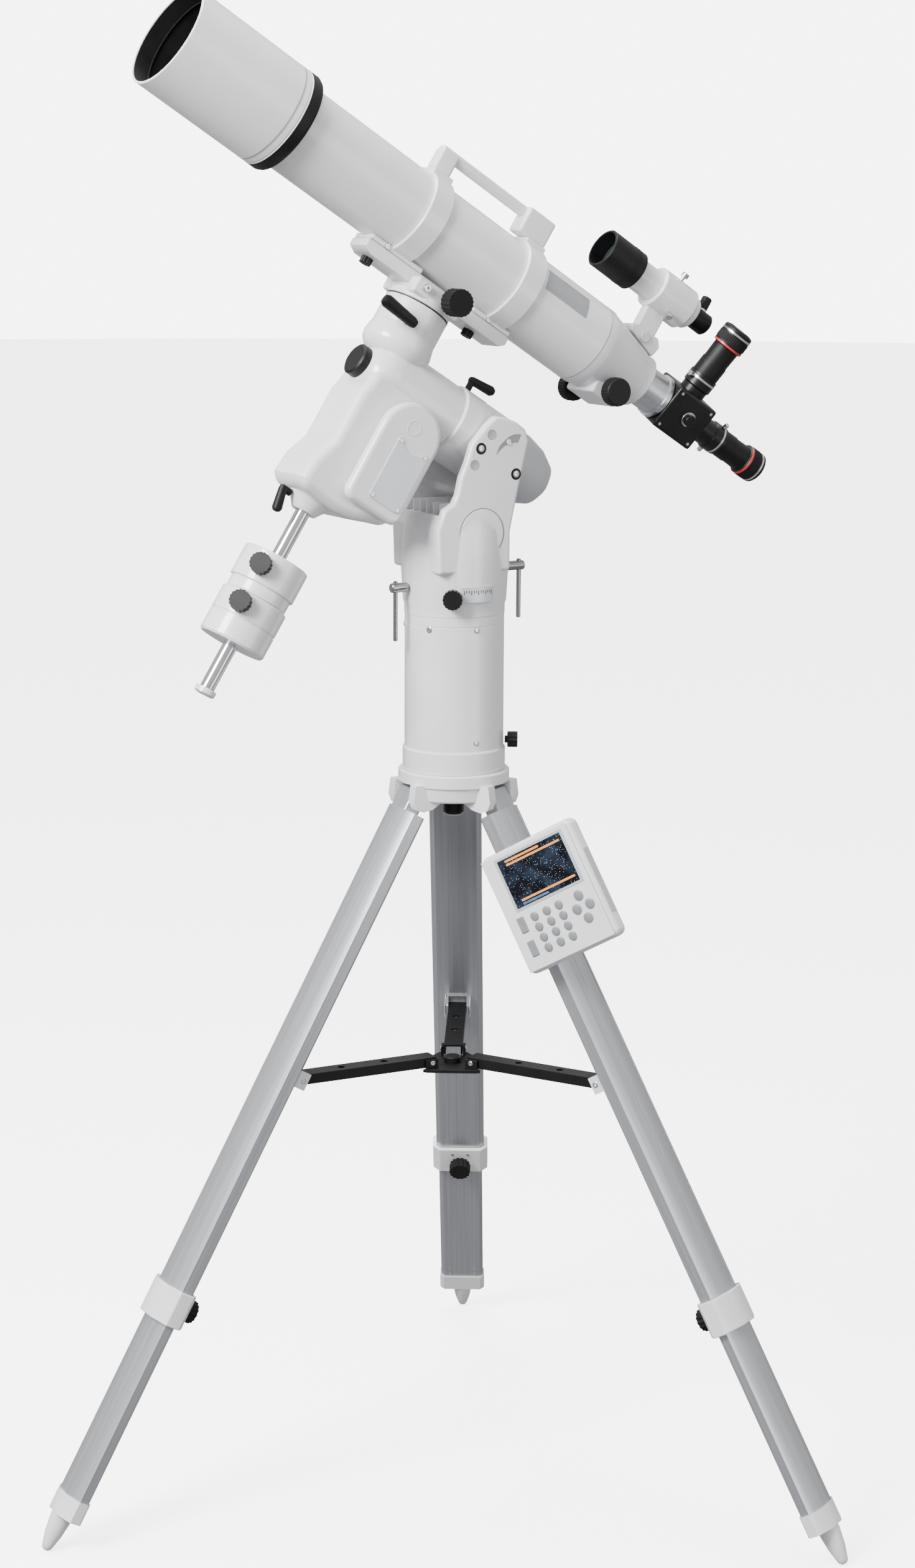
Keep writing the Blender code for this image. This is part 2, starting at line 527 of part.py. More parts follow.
# ---------------------------------------------------------------- optical tube
tube_at = shift(0, 0, TUBE_Q) @ ALONG_X
inner = TUBE_RADIUS - TUBE_WALL
turned("main_tube", [(inner, TUBE_FRONT), (TUBE_RADIUS, TUBE_FRONT), (TUBE_RADIUS, TUBE_REAR),
                     (inner, TUBE_REAR)], polar, tube_at, "white", 32, True)
turned("dew_shield", [(DEW_RADIUS - 3, DEW_FRONT), (DEW_RADIUS - 0.8, DEW_FRONT), (DEW_RADIUS, DEW_FRONT - 1),
                      (DEW_RADIUS, 306), (DEW_RADIUS - 0.8, 305), (DEW_RADIUS - 0.8, 304), (DEW_RADIUS, 303),
                      (DEW_RADIUS, 290), (DEW_RADIUS - 2, TUBE_FRONT - 1), (TUBE_RADIUS + GAP, TUBE_FRONT - 1),
                      (TUBE_RADIUS + GAP, TUBE_FRONT + GAP), (inner, TUBE_FRONT + GAP), (inner, 296),
                      (DEW_RADIUS - 3, 297)], polar, tube_at, "white", 32, True)
turned("objective_lens", [(0, 287), (20, 286.3), (40, 284), (inner - GAP, 280), (inner - GAP, 268), (0, 268)],
       polar, tube_at, "glass", 28)
bore = DRAW_RADIUS + 0.4
focuser = turned("focuser_body", [(bore, TUBE_REAR - GAP), (TUBE_RADIUS, TUBE_REAR - GAP), (TUBE_RADIUS, -256),
                                  (TUBE_RADIUS - 2, -262), (41, -330), (38, -338), (38, -350), (36, -352),
                                  (bore, -352)], polar, tube_at, "white", 32, True)
fuse(focuser, block("pinion_housing", (FOCUS_P - 24, FOCUS_P + 22), (-34, 34), (FOCUS_Q - 13, 176), polar, UP, None, 4, 2))
cut(focuser, rod("pinion_bore", 4.3, -60, 60, polar, aim(FOCUS_P, 0, FOCUS_Q, (0, 1, 0)), steps=16),
    rod("draw_bore", bore, -400, -200, polar, tube_at, steps=32))
KNOB = [(0, 65), (17.5, 65), (19, 63.5), (19, 48), (17, 46.5), (6, 46.5), (6, 34 + GAP), (4, 34 + GAP)]
turned("focus_knobs", KNOB + [(r, -z) for r, z in reversed(KNOB)], polar,
       aim(FOCUS_P, 0, FOCUS_Q, (0, 1, 0)), "black", 20)
turned("drawtube", [(DRAW_RADIUS - 2.5, -292), (DRAW_RADIUS, -292), (DRAW_RADIUS, -386), (DRAW_RADIUS + 3, -387),
                    (DRAW_RADIUS + 3, DRAW_END), (DRAW_RADIUS - 2.5, DRAW_END)], polar, tube_at, "silver", 32, True)

box_at = shift((BOX_P[0] + BOX_P[1]) / 2, 0, TUBE_Q) @ turn(-BOX_TURN, "X")
box_half = (BOX_P[0] - BOX_P[1]) / 2 - GAP
mirror_box = block("flip_mirror_box", (-box_half, box_half), (-BOX_HALF, BOX_HALF), (-BOX_HALF, BOX_HALF),
                   polar, box_at, "anodised", 4.0, 2)
fuse(mirror_box,
     rod("box_front", 24, 25, box_half + 0.2, polar, box_at @ ALONG_X, steps=24),
     turned("rear_port", [(0, -20), (19, -20), (19, -62), (21, -64), (21, -84), (0, -84)], polar,
            box_at @ ALONG_X, steps=24),
     turned("side_port", [(0, 62), (21, 62), (21, 44), (19, 42), (19, 20), (0, 20)], polar, box_at, steps=24))
cut(mirror_box, rod("rear_bore", 16.2, -120, -60, polar, box_at @ ALONG_X, steps=24),
    rod("side_bore", 16.2, 40, 100, polar, box_at, steps=24))


def eyepiece(name, matrix):
    """An eyepiece: its barrel in the port, body and rubber eye cup above it."""
    turned(name, [(0, 78), (20, 78), (22.3, 76), (22.3, 50), (19, 48), (18.5, 24), (19.5, 22), (19.5, GAP),
                  (15.9, GAP), (15.9, -20), (0, -20)], polar, matrix, "black", 24)


eyepiece("eyepiece_straight", box_at @ shift(-84, 0, 0) @ turn(-90, "Y"))
eyepiece("eyepiece_side", box_at @ shift(0, 0, 62))

finder_at = shift(0, 0, FINDER_Q) @ ALONG_X
cap = FINDER_RADIUS + 6
finder = turned("finder_tube", [(0, -226), (cap - 3, -226), (cap - 3, -203), (cap - 0.6, -203), (cap, -204),
                                (cap, -262), (FINDER_RADIUS, -265), (FINDER_RADIUS, -374), (15, -376),
                                (15, -404), (13, -406), (0, -406)],
                polar, finder_at, "white", 24)
fuse(finder, rod("finder_light", 7, 12, 34, polar, aim(-388, 0, FINDER_Q, (0, 0, 1)), steps=14, soft=1.5))
seat = FINDER_RADIUS + GAP
holder = turned("finder_bracket", [(seat, -301), (seat + 6.5, -301), (seat + 7.5, -302), (seat + 7.5, -361),
                                   (seat + 6.5, -362), (seat, -362)], polar, finder_at, "white", 24, True)
fuse(holder, block("finder_stalk", (-338, -304), (-8, 8), (TUBE_Q + 50, FINDER_Q - seat - 2), polar, UP, None, 3, 2))
shoe_at = aim(-300, 0, TUBE_Q, (0.0, 0.0, 1.0))
shoe = prism("finder_shoe", [(-344, 236), (-296, 249.5), (-292, 256), (-300, 262), (-340, 262), (-348, 252)],
             -16, 16, polar, FLAT_XZ, None, 1.5, 1)
fuse(holder, shoe)
cut(holder, rod("finder_seat", seat, -400, -250, polar, finder_at, steps=24),
    turned("focuser_room", [(0, TUBE_REAR + 20), (TUBE_RADIUS + GAP, TUBE_REAR + 20), (TUBE_RADIUS + GAP, -256),
                            (TUBE_RADIUS - 2 + GAP, -262.2), (41 + GAP, -330.2), (38 + GAP, -338.2),
                            (38 + GAP, -380), (0, -380)], polar, tube_at, steps=32))

# ---------------------------------------------------------------- hand controller
leg = bpy.data.objects["leg_frame_right"]
gap_x = half_w + GAP
clip = block("controller_clip", (gap_x, gap_x + 9), (-10, 26), (-PAD_AT - 30, -PAD_AT + 30), leg, UP, "black", 2, 1)
pad_x = gap_x + 9 + GAP
pad = block("hand_controller", (pad_x, pad_x + PAD_DEPTH), (PAD_OUT - PAD_WIDTH / 2, PAD_OUT + PAD_WIDTH / 2),
            (-PAD_AT - PAD_LENGTH / 2, -PAD_AT + PAD_LENGTH / 2), leg, UP, "black", 10.0, 3)
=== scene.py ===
"""Looks for the telescope on a tripod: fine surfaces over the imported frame.

Each CAD node gets a finer skin of the same size in the same place, and small
pieces such as screws, labels and keys ride on the bodies that carry them.
"""
import json
from math import sin, cos, atan, radians, pi, sqrt
import bpy
import bmesh
from mathutils import Matrix, Vector

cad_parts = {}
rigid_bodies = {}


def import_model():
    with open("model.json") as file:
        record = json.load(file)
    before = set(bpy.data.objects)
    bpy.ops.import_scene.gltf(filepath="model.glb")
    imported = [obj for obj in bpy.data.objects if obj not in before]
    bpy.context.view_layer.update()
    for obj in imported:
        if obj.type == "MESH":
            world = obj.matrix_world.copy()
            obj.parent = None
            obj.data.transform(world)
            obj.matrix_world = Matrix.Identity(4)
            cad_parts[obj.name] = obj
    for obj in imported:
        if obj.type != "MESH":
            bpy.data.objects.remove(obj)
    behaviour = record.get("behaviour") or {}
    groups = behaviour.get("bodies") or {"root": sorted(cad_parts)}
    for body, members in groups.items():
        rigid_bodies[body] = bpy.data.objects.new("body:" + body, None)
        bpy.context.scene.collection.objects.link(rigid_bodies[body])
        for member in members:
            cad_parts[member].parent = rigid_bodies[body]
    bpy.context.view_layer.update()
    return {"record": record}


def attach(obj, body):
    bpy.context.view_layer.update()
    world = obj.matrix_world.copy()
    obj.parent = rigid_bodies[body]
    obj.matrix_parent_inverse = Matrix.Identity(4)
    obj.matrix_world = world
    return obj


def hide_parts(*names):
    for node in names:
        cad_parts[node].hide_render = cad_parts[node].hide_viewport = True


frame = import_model()
bodies = frame["record"]["behaviour"]["bodies"]
body_of_node = {member: body for body, members in bodies.items() for member in members}

FINE = 3  # turning steps, for each step of the CAD solid
SHARP_ANGLE = 32.0  # edges sharper than this stay sharp
BEVEL_ANGLE = 40.0  # and sharper than this are bevelled
MM = 0.001
GAP = 0.3  # left between pieces that touch

# sizes in millimetres; a name ending in _R is a radius

# tripod
FOOT_R = 617.4  # tripod axis to a leg's centre line on the floor
LEG_SLOPE = 0.5627  # outward run of a leg for each unit of height
HINGE_R = 66.0
EAR_OUT = 30.0  # a head ear's middle, beside its leg
LEG_ANGLES = {"left": 210.0, "right": 330.0, "back": 90.0}
LEG_WIDTH = 73.0
LEG_DEPTH = 34.0
LEG_WALL = 2.5
UPPER_START = 20.0  # along the leg from the hinge
UPPER_END = 745.0
COLLAR_START = 731.0
COLLAR_END = 780.0
COLLAR_WALL = 5.5
LOWER_START = 600.0
LOWER_END = 1052.0
FOOT_TIP_R = 8.0
COLLAR_KNOB_R = 16.0
COLLAR_KNOB_AT = 757.0
BRACKET_AT = 410.0  # spreader bracket, along the leg
BRACKET_OUT = 33.0  # its pivot, inward of the leg's centre line
ARM_WIDTH = 26.0
ARM_HEIGHT = 14.0
HUB_PIVOT_R = 40.0
HUB_PIVOT_HEIGHT = 604.0
HUB_CLEAR = 0.6  # beside each arm, in its fork
HUB_CHEEK = 3.5
HUB_SLOT = 31.0  # how far in the slots reach, clear of the folding arms

# head and half pillar
HEAD_R = 76.0
HEAD_BOTTOM = 978.0
HEAD_TOP = 1016.0
PILLAR_R = 67.5
PILLAR_TOP = 1231.0

# mount
AZIMUTH = 211.66  # compass direction that the mount faces
LATITUDE = 32.5  # polar axis above the horizon
AXES_U = 114.0  # where the two axes cross, in the base frame
AXES_W = 1550.2
PIVOT_U = -57.0  # altitude pivot, in the base frame
PIVOT_W = 1419.0
FORK_HALF = 64.0
FORK_INSIDE = 53.0
RA_R = 48.0
RA_SEAM = -110.0  # fixed and turning parts of the polar axis meet
DEC_R = 45.0
DEC_SEAM = 103.0
SHAFT_R = 10.0
SHAFT_END = -480.0
SHAFT_P = 4.0
WEIGHT_R = 45.5
WEIGHT_KNOB_TURN = 47.0  # clamp knobs, round the shaft

# optical tube, along the polar frame's X at TUBE_Q on Z
TUBE_Q = 200.0
TUBE_R = 57.5
TUBE_WALL = 2.5
TUBE_FRONT = 287.0
TUBE_REAR = -244.0
DEW_R = 70.0
DEW_FRONT = 483.0
RING_R = 62.5
RING_WIDTH = 32.0
RING_FRONT_P = 68.0
RING_REAR_P = -101.0
DRAW_R = 29.0
DRAW_END = -393.0
FOCUS_P = -296.0
FOCUS_Q = 155.0
BOX_P = (-394.0, -466.0)
BOX_HALF = 33.0
BOX_TURN = 20.0  # side port turned from the declination direction
FINDER_Q = 322.0
FINDER_R = 22.0

# hand controller on the right leg
PAD_LENGTH = 169.0
PAD_WIDTH = 154.5
PAD_DEPTH = 30.0
PAD_AT = 157.0  # its centre, along the leg
PAD_OUT = 58.0  # its centre, outward of the leg's centre line
KEY_PITCH = (21, 15)  # its keys, across and down

# camera, in metres and radians
CAMERA_PLACE = (0.1225, -4.0832 - FOOT_R * MM / 4, 1.8273)
CAMERA_YAW, CAMERA_PITCH, CAMERA_ROLL = -0.0287, 0.2018, -0.0046
CAMERA_LENS = 69.916

in_scene = bpy.context.scene.collection.objects.link
parts = bpy.data.collections.new("skins")
cutters = bpy.data.collections.new("cutters")
for group in (parts, cutters):
    bpy.context.scene.collection.children.link(group)

# ---- materials


def shader(name):
    made = bpy.data.materials.new(name)
    made.use_nodes = True
    tree = made.node_tree
    return made, tree, tree.nodes["Principled BSDF"]


def node(tree, kind, inputs=None, **settings):
    made = tree.nodes.new(kind)
    for key, value in settings.items():
        setattr(made, key, value)
    for key, value in (inputs or {}).items():
        made.inputs[key].default_value = value
    return made


def link(source, output, target, socket):
    source.id_data.links.new(source.outputs[output], target.inputs[socket])


def ramp(tree, low, dark, high, light):
    """A colour ramp between two tones."""
    made = node(tree, "ShaderNodeValToRGB")
    for point, place, tone in zip(made.color_ramp.elements, (low, high), (dark, light)):
        point.position = place
        point.color = (*tone, 1)
    return made


def surface(name, dark, light, rough, metal, scale, stretch, grain, bump, depth, coat=0, speck=0,
        spec=0.5):
    """Colour drifting between two tones, roughness between two values, and a fine bump."""
    made, tree, bsdf = shader(name)
    place = node(tree, "ShaderNodeAttribute", attribute_name="local")
    mapping = node(tree, "ShaderNodeMapping", {"Scale": stretch})
    link(place, "Vector", mapping, "Vector")
    drift = node(tree, "ShaderNodeTexNoise", {"Scale": scale, "Detail": 5.0, "Roughness": 0.6})
    link(mapping, "Vector", drift, "Vector")
    tones = ramp(tree, 0.3, dark, 0.7, light)
    link(drift, "Fac", tones, "Fac")
    colour = tones.outputs["Color"]
    fine = node(tree, "ShaderNodeTexNoise", {"Scale": grain, "Detail": 3.0, "Roughness": 0.5})
    link(mapping, "Vector", fine, "Vector")
    if speck:
        dust = node(tree, "ShaderNodeMapRange", {"From Min": 0.62, "From Max": 0.75, "To Min": 0.0,
            "To Max": speck})
        link(fine, "Fac", dust, "Value")
        mix = node(tree, "ShaderNodeMix", data_type="RGBA")
        mix.inputs[7].default_value = tuple(min(1.0, c * 1.6 + 0.02) for c in light) + (1.0,)
        tree.links.new(dust.outputs["Result"], mix.inputs[0])
        tree.links.new(colour, mix.inputs[6])
        colour = mix.outputs[2]
    tree.links.new(colour, bsdf.inputs["Base Color"])
    shine = node(tree, "ShaderNodeMapRange", {"To Min": rough[0], "To Max": rough[1]})
    link(drift, "Fac", shine, "Value")
    link(shine, "Result", bsdf, "Roughness")
    relief = node(tree, "ShaderNodeBump", {"Strength": bump, "Distance": depth})
    link(fine, "Fac", relief, "Height")
    link(relief, "Normal", bsdf, "Normal")
    bsdf.inputs["Metallic"].default_value = metal
    bsdf.inputs["Coat Weight"].default_value = coat
    bsdf.inputs["Coat Roughness"].default_value = 0.07
    bsdf.inputs["Specular IOR Level"].default_value = spec
    return made


EVEN = (1, 1, 1)
# name, dark tone, light tone, roughness from and to, metal, scale and stretch of the drift,
# grain of the bump, its strength and depth, then coat, specks and specular level where set
FINISHES = {
    "white": ("white_enamel", (0.66, 0.66, 0.68), (0.72, 0.72, 0.735), (0.26, 0.36),
        0, 14, EVEN, 700, 0.06, 0.0004, 0.6),
    "tube": ("white_tube_lacquer", (0.70, 0.70, 0.71), (0.75, 0.75, 0.76), (0.3, 0.38),
        0, 9, EVEN, 900, 0.03, 0.0003, 0.4),
    "grey": ("grey_moulding", (0.40, 0.41, 0.43), (0.46, 0.47, 0.49), (0.36, 0.46),
        0, 20, EVEN, 1100, 0.08, 0.0003),
    "pale": ("pale_grey_plate", (0.52, 0.54, 0.56), (0.58, 0.60, 0.62), (0.3, 0.4),
        0.35, 40, (1, 14, 1), 500, 0.05, 0.0002),
    "black": ("black_moulding", (0.0018, 0.0018, 0.002), (0.004, 0.004, 0.0045), (0.42, 0.58),
        0, 30, EVEN, 1500, 0.12, 0.0003, 0, 0.04, 0.25),
    "anodised": ("black_anodised", (0.0018, 0.0018, 0.002), (0.004, 0.004, 0.0045), (0.3, 0.42),
        0.1, 50, EVEN, 2200, 0.05, 0.0002, 0, 0.03, 0.4),
    "rubber": ("rubber", (0.002, 0.002, 0.002), (0.005, 0.005, 0.0052), (0.6, 0.8),
        0, 60, EVEN, 1800, 0.2, 0.0003, 0, 0.05, 0.25),
    "silver": ("brushed_aluminium", (0.50, 0.51, 0.53), (0.66, 0.67, 0.69), (0.26, 0.4),
        1.0, 30, (9, 9, 0.25), 300, 0.1, 0.0002),
    "leg": ("leg_extrusion", (0.36, 0.37, 0.39), (0.47, 0.48, 0.505), (0.26, 0.36),
        0.72, 22, (12, 12, 0.12), 260, 0.08, 0.0002),
    "steel": ("polished_steel", (0.50, 0.50, 0.52), (0.62, 0.62, 0.64), (0.1, 0.18),
        1.0, 40, (6, 6, 0.5), 500, 0.02, 0.0001),
    # grey for the controller's keys; also used as painted shade for the fork's cover groove and curved slot
    "key": ("grey_key_and_painted_shade", (0.17, 0.18, 0.19), (0.22, 0.23, 0.245), (0.4, 0.5),
        0, 60, EVEN, 1500, 0.08, 0.0002),
    "chrome": ("bolt_steel", (0.26, 0.26, 0.27), (0.36, 0.36, 0.37), (0.14, 0.24),
        1.0, 60, (5, 5, 1), 700, 0.03, 0.0001),
    "label": ("blank_label", (0.30, 0.31, 0.33), (0.36, 0.37, 0.39), (0.3, 0.4),
        0.4, 40, (1, 14, 1), 500, 0.05, 0.0002),
    "screw": ("screw_metal", (0.55, 0.55, 0.56), (0.72, 0.72, 0.73), (0.18, 0.3),
        1.0, 200, EVEN, 2500, 0.05, 0.0001),
    "red": ("red_band", (0.42, 0.012, 0.015), (0.52, 0.02, 0.022), (0.3, 0.4),
        0, 80, EVEN, 1500, 0.05, 0.0002),
    "orange": ("screen_orange", (0.75, 0.27, 0.05), (0.82, 0.33, 0.08), (0.25, 0.35),
        0, 80, EVEN, 900, 0.02, 0.0001),
    "blue": ("screen_blue", (0.05, 0.10, 0.20), (0.10, 0.17, 0.30), (0.25, 0.35),
        0, 90, EVEN, 900, 0.02, 0.0001),
    # grey for the stripes, lines and seams; also used as painted shade for the fork's holes
    "stripe": ("grey_stripe_and_painted_shade", (0.30, 0.30, 0.31), (0.36, 0.36, 0.37), (0.35, 0.45),
        0, 60, EVEN, 900, 0.03, 0.0002),
    "glass": ("coated_lens", (0.02, 0.03, 0.035), (0.03, 0.045, 0.05), (0.03, 0.06),
        0, 12, EVEN, 60, 0, 0.0003, 1.0),
}
LOOKS = {key: surface(*values) for key, values in FINISHES.items()}


def screen_look():
    """A dark sky with small stars."""
    made, tree, bsdf = shader("star_screen")
    place = node(tree, "ShaderNodeAttribute", attribute_name="local")
    stars = node(tree, "ShaderNodeTexVoronoi", {"Scale": 420.0})
    link(place, "Vector", stars, "Vector")
    dots = node(tree, "ShaderNodeMapRange", {"From Min": 0.10, "From Max": 0.16, "To Min": 1.0,
        "To Max": 0.0})
    link(stars, "Distance", dots, "Value")
    haze = node(tree, "ShaderNodeTexNoise", {"Scale": 45.0, "Detail": 4.0})
    link(place, "Vector", haze, "Vector")
    sky = ramp(tree, 0.42, (0.002, 0.003, 0.006), 0.72, (0.016, 0.026, 0.045))
    link(haze, "Fac", sky, "Fac")
    mix = node(tree, "ShaderNodeMix", data_type="RGBA")
    mix.inputs[7].default_value = (0.7, 0.75, 0.8, 1)
    tree.links.new(dots.outputs["Result"], mix.inputs[0])
    tree.links.new(sky.outputs["Color"], mix.inputs[6])
    tree.links.new(mix.outputs[2], bsdf.inputs["Base Color"])
    bsdf.inputs["Roughness"].default_value = 0.2
    bsdf.inputs["Specular IOR Level"].default_value = 0.2
    relief = node(tree, "ShaderNodeBump", {"Strength": 0.01, "Distance": 0.0001})
    link(haze, "Fac", relief, "Height")
    link(relief, "Normal", bsdf, "Normal")
    return made


LOOKS["screen"] = screen_look()


def empty(name, parent, matrix):
    made = bpy.data.objects.new(name, None)
    parts.objects.link(made)
    made.parent = parent
    made.matrix_basis = matrix
    return made


def shift(x, y, z):
    return Matrix.Translation((x * MM, y * MM, z * MM))


def turn(degrees_, axis):
    return Matrix.Rotation(radians(degrees_), 4, axis)


def aim(x, y, z, direction):
    """At a point in millimetres, local Z along the direction."""
    quat = Vector(direction).to_track_quat("Z", "Y")
    return shift(x, y, z) @ quat.to_matrix().to_4x4()


def add(name, mesh, parent, matrix, finish):
    made = bpy.data.objects.new(name, mesh)
    if finish:
        parts.objects.link(made)
        made["look"] = finish
        made["piece"] = name
    else:
        cutters.objects.link(made)
        made.hide_render = True
        made.display_type = "WIRE"
    made.parent = parent
    made.matrix_basis = matrix
    return made


def turned(name, profile, parent, matrix, finish=None, steps=28, closed=False):
    """A profile of (radius, height) about local Z, from its top down the outside."""
    mesh = bpy.data.meshes.new(name)
    points = [(r * MM, 0.0, z * MM) for r, z in profile]
    edges = [(i, i + 1) for i in range(len(points) - 1)] + [(len(points) - 1, 0)] * closed
    mesh.from_pydata(points, edges, [])
    made = add(name, mesh, parent, matrix, finish)
    screw = made.modifiers.new("turn", "SCREW")
    screw.steps = screw.render_steps = steps * FINE
    screw.use_merge_vertices = True
    screw.merge_threshold = 0.00001
    screw.use_smooth_shade = True
    return made


def rod(name, radius, z0, z1, parent, matrix, finish=None, steps=20, soft=0.0):
    """A cylinder along local Z, its edges turned over by soft."""
    if soft:
        profile = [(0, z1), (radius - soft, z1), (radius, z1 - soft), (radius, z0 + soft),
            (radius - soft, z0), (0, z0)]
    else:
        profile = [(0, z1), (radius, z1), (radius, z0), (0, z0)]
    return turned(name, profile, parent, matrix, finish, steps)


def bevel(made, width, segments):
    if width:
        mod = made.modifiers.new("edges", "BEVEL")
        mod.width = width * MM
        mod.segments = segments + 2
        mod.limit_method = "ANGLE"
        mod.angle_limit = radians(BEVEL_ANGLE)
        mod.use_clamp_overlap = True
    return made


def prism(name, outline, z0, z1, parent, matrix, finish=None, edge=0.0, segments=2):
    """A flat outline of (x, y) points, filled and extruded between two heights."""
    curve = bpy.data.curves.new(name, "CURVE")
    curve.dimensions = "2D"
    curve.fill_mode = "BOTH"
    curve.extrude = (z1 - z0) / 2 * MM
    spline = curve.splines.new("POLY")
    spline.points.add(len(outline) - 1)
    for point, (x, y) in zip(spline.points, outline):
        point.co = (x * MM, y * MM, 0.0, 1.0)
    spline.use_cyclic_u = True
    flat = bpy.data.objects.new(name + "_outline", curve)
    cutters.objects.link(flat)
    ready = flat.evaluated_get(bpy.context.evaluated_depsgraph_get())
    mesh = bpy.data.meshes.new_from_object(ready)
    mesh.name = name
    bpy.data.objects.remove(flat)
    mesh.materials.clear()
    shape = bmesh.new()
    shape.from_mesh(mesh)
    bmesh.ops.remove_doubles(shape, verts=shape.verts, dist=0.000001)
    bmesh.ops.dissolve_limit(shape, angle_limit=0.001, verts=shape.verts, edges=shape.edges)
    bmesh.ops.recalc_face_normals(shape, faces=shape.faces)
    shape.to_mesh(mesh)
    shape.free()
    made = add(name, mesh, parent, matrix @ shift(0, 0, (z0 + z1) / 2), finish)
    return bevel(made, edge, segments)


def block(name, x, y, z, parent, matrix, finish=None, edge=0.0, segments=2):
    """A box between the given pairs, in millimetres."""
    mesh = bpy.data.meshes.new(name)
    shape = bmesh.new()
    size = Matrix.Diagonal([(b - a) * MM for a, b in (x, y, z)]).to_4x4()
    bmesh.ops.create_cube(shape, size=1.0, matrix=size)
    shape.to_mesh(mesh)
    shape.free()
    middle = shift(*[(a + b) / 2 for a, b in (x, y, z)])
    return bevel(add(name, mesh, parent, matrix @ middle, finish), edge, segments)


def combine(made, other, kind):
    mod = made.modifiers.new(kind.lower(), "BOOLEAN")
    mod.operation = kind
    mod.object = other
    mod.solver = "EXACT"


def fuse(made, *others):
    for other in others:
        combine(made, other, "UNION")
    return made


def cut(made, *others):
    for other in others:
        combine(made, other, "DIFFERENCE")
    return made


def inset(outline, by):
    """The outline moved inward by a distance, or outward when it is negative."""
    moved = []
    count = len(outline)
    for i in range(count):
        before, here, after = (Vector(outline[j % count]) for j in (i - 1, i, i + 1))
        a = (here - before).normalized()
        b = (after - here).normalized()
        na, nb = Vector((-a.y, a.x)), Vector((-b.y, b.x))
        half = (na + nb).normalized()
        moved.append(tuple(here + half * (by / half.dot(na))))
    return moved


def lobed(radius, depth, lobes, points=14):
    """A knob's outline with rounded lobes."""
    outline = []
    for i in range(lobes * points):
        a = 2 * pi * i / (lobes * points)
        r = radius - depth * (0.5 - 0.5 * cos(lobes * a))
        outline.append((r * cos(a), r * sin(a)))
    return outline


def hoop(outer, inner, top, bottom):
    """The profile of a flat ring."""
    return [(outer, top), (outer, bottom), (inner, bottom), (inner, top)]


def both(half, middle=0.0):
    """The two ends of a width about its middle."""
    return (middle - half, middle + half)


def arc(cx, cy, radius, start, end, count):
    return [(cx + radius * cos(radians(start + (end - start) * i / count)), cy
        + radius * sin(radians(start + (end - start) * i / count))) for i in range(count + 1)]


TO_X, TO_Y, TO_Z = (1, 0, 0), (0, 1, 0), (0, 0, 1)
UP = Matrix.Identity(4)
ALONG_X = turn(90, "Y")  # local Z along +X
FLAT_XZ = turn(90, "X")  # outline drawn in X and Z, extruded along Y


def clamp_knob(name, outline, z0, z1, stem, stem_from, stem_to, parent, at, steps=14):
    """A lobed knob on a stem."""
    knob = prism(name, outline, z0, z1, parent, at, "black")
    return fuse(knob, rod(name + "_stem", stem, stem_from, stem_to, parent, at, steps=steps))


# the base of the box that bounds the whole object is centred on the origin
axis = empty("tripod_axis", None, shift(0, -FOOT_R / 4, 0))

# ---- tripod
tilt = atan(LEG_SLOPE)
hinge_height = (FOOT_R - HINGE_R) / LEG_SLOPE
half_w, half_d = LEG_WIDTH / 2, LEG_DEPTH / 2
LEG_SECTION = [(-half_w + 7, -half_d), (half_w - 7, -half_d), (half_w, -half_d + 6),
    (half_w, half_d - 13), (half_w - 22, half_d), (-half_w + 22, half_d), (-half_w, half_d - 13),
    (-half_w, -half_d + 6)]
INSIDE = inset(LEG_SECTION, LEG_WALL)
LOWER_SECTION = inset(LEG_SECTION, LEG_WALL + 0.6)

head = turned("tripod_head", [(0, HEAD_TOP), (HEAD_R - 2, HEAD_TOP), (HEAD_R, HEAD_TOP - 2),
    (HEAD_R, HEAD_TOP - 17), (HEAD_R - 3, HEAD_TOP - 19), (HEAD_R - 6, HEAD_BOTTOM + 2),
    (HEAD_R - 8, HEAD_BOTTOM), (0, HEAD_BOTTOM)], axis, UP, "white", 28)
hub_top = HUB_PIVOT_HEIGHT - ARM_HEIGHT / 2 - 0.6
hub_reach = 62.0
hub_lobe = hub_reach * 0.55
hub_outline = []
for angle in sorted(LEG_ANGLES.values()):
    hub_outline += arc(hub_lobe * cos(radians(angle)), hub_lobe * sin(radians(angle)), 24.0, angle - 50,
        angle + 50, 5)
hub = prism("spreader_hub", hub_outline, hub_top - 5, hub_top, axis, UP, "black", 1.0, 1)
fuse(hub, rod("hub_boss", 12.0, hub_top - 12, hub_top + 9, axis, UP, steps=20, soft=2))
# a fork for each arm: two cheeks, and an open slot between them that the arm folds through
for side, angle in LEG_ANGLES.items():
    fork_at = turn(angle - 90, "Z")
    for sign in (-1, 1):
        inside = ARM_WIDTH / 2 + HUB_CLEAR
        fuse(hub, block(f"hub_cheek_{side}_{sign}",
            sorted((sign * inside, sign * (inside + HUB_CHEEK))), (HUB_SLOT, HUB_PIVOT_R + 10),
            (hub_top - 5, HUB_PIVOT_HEIGHT + 5), axis, fork_at, None, 0.8, 1))
    cut(hub, block("hub_slot_" + side, both(ARM_WIDTH / 2 + HUB_CLEAR), (HUB_SLOT, hub_reach + 20),
        (hub_top - 20, hub_top + 20), axis, fork_at))

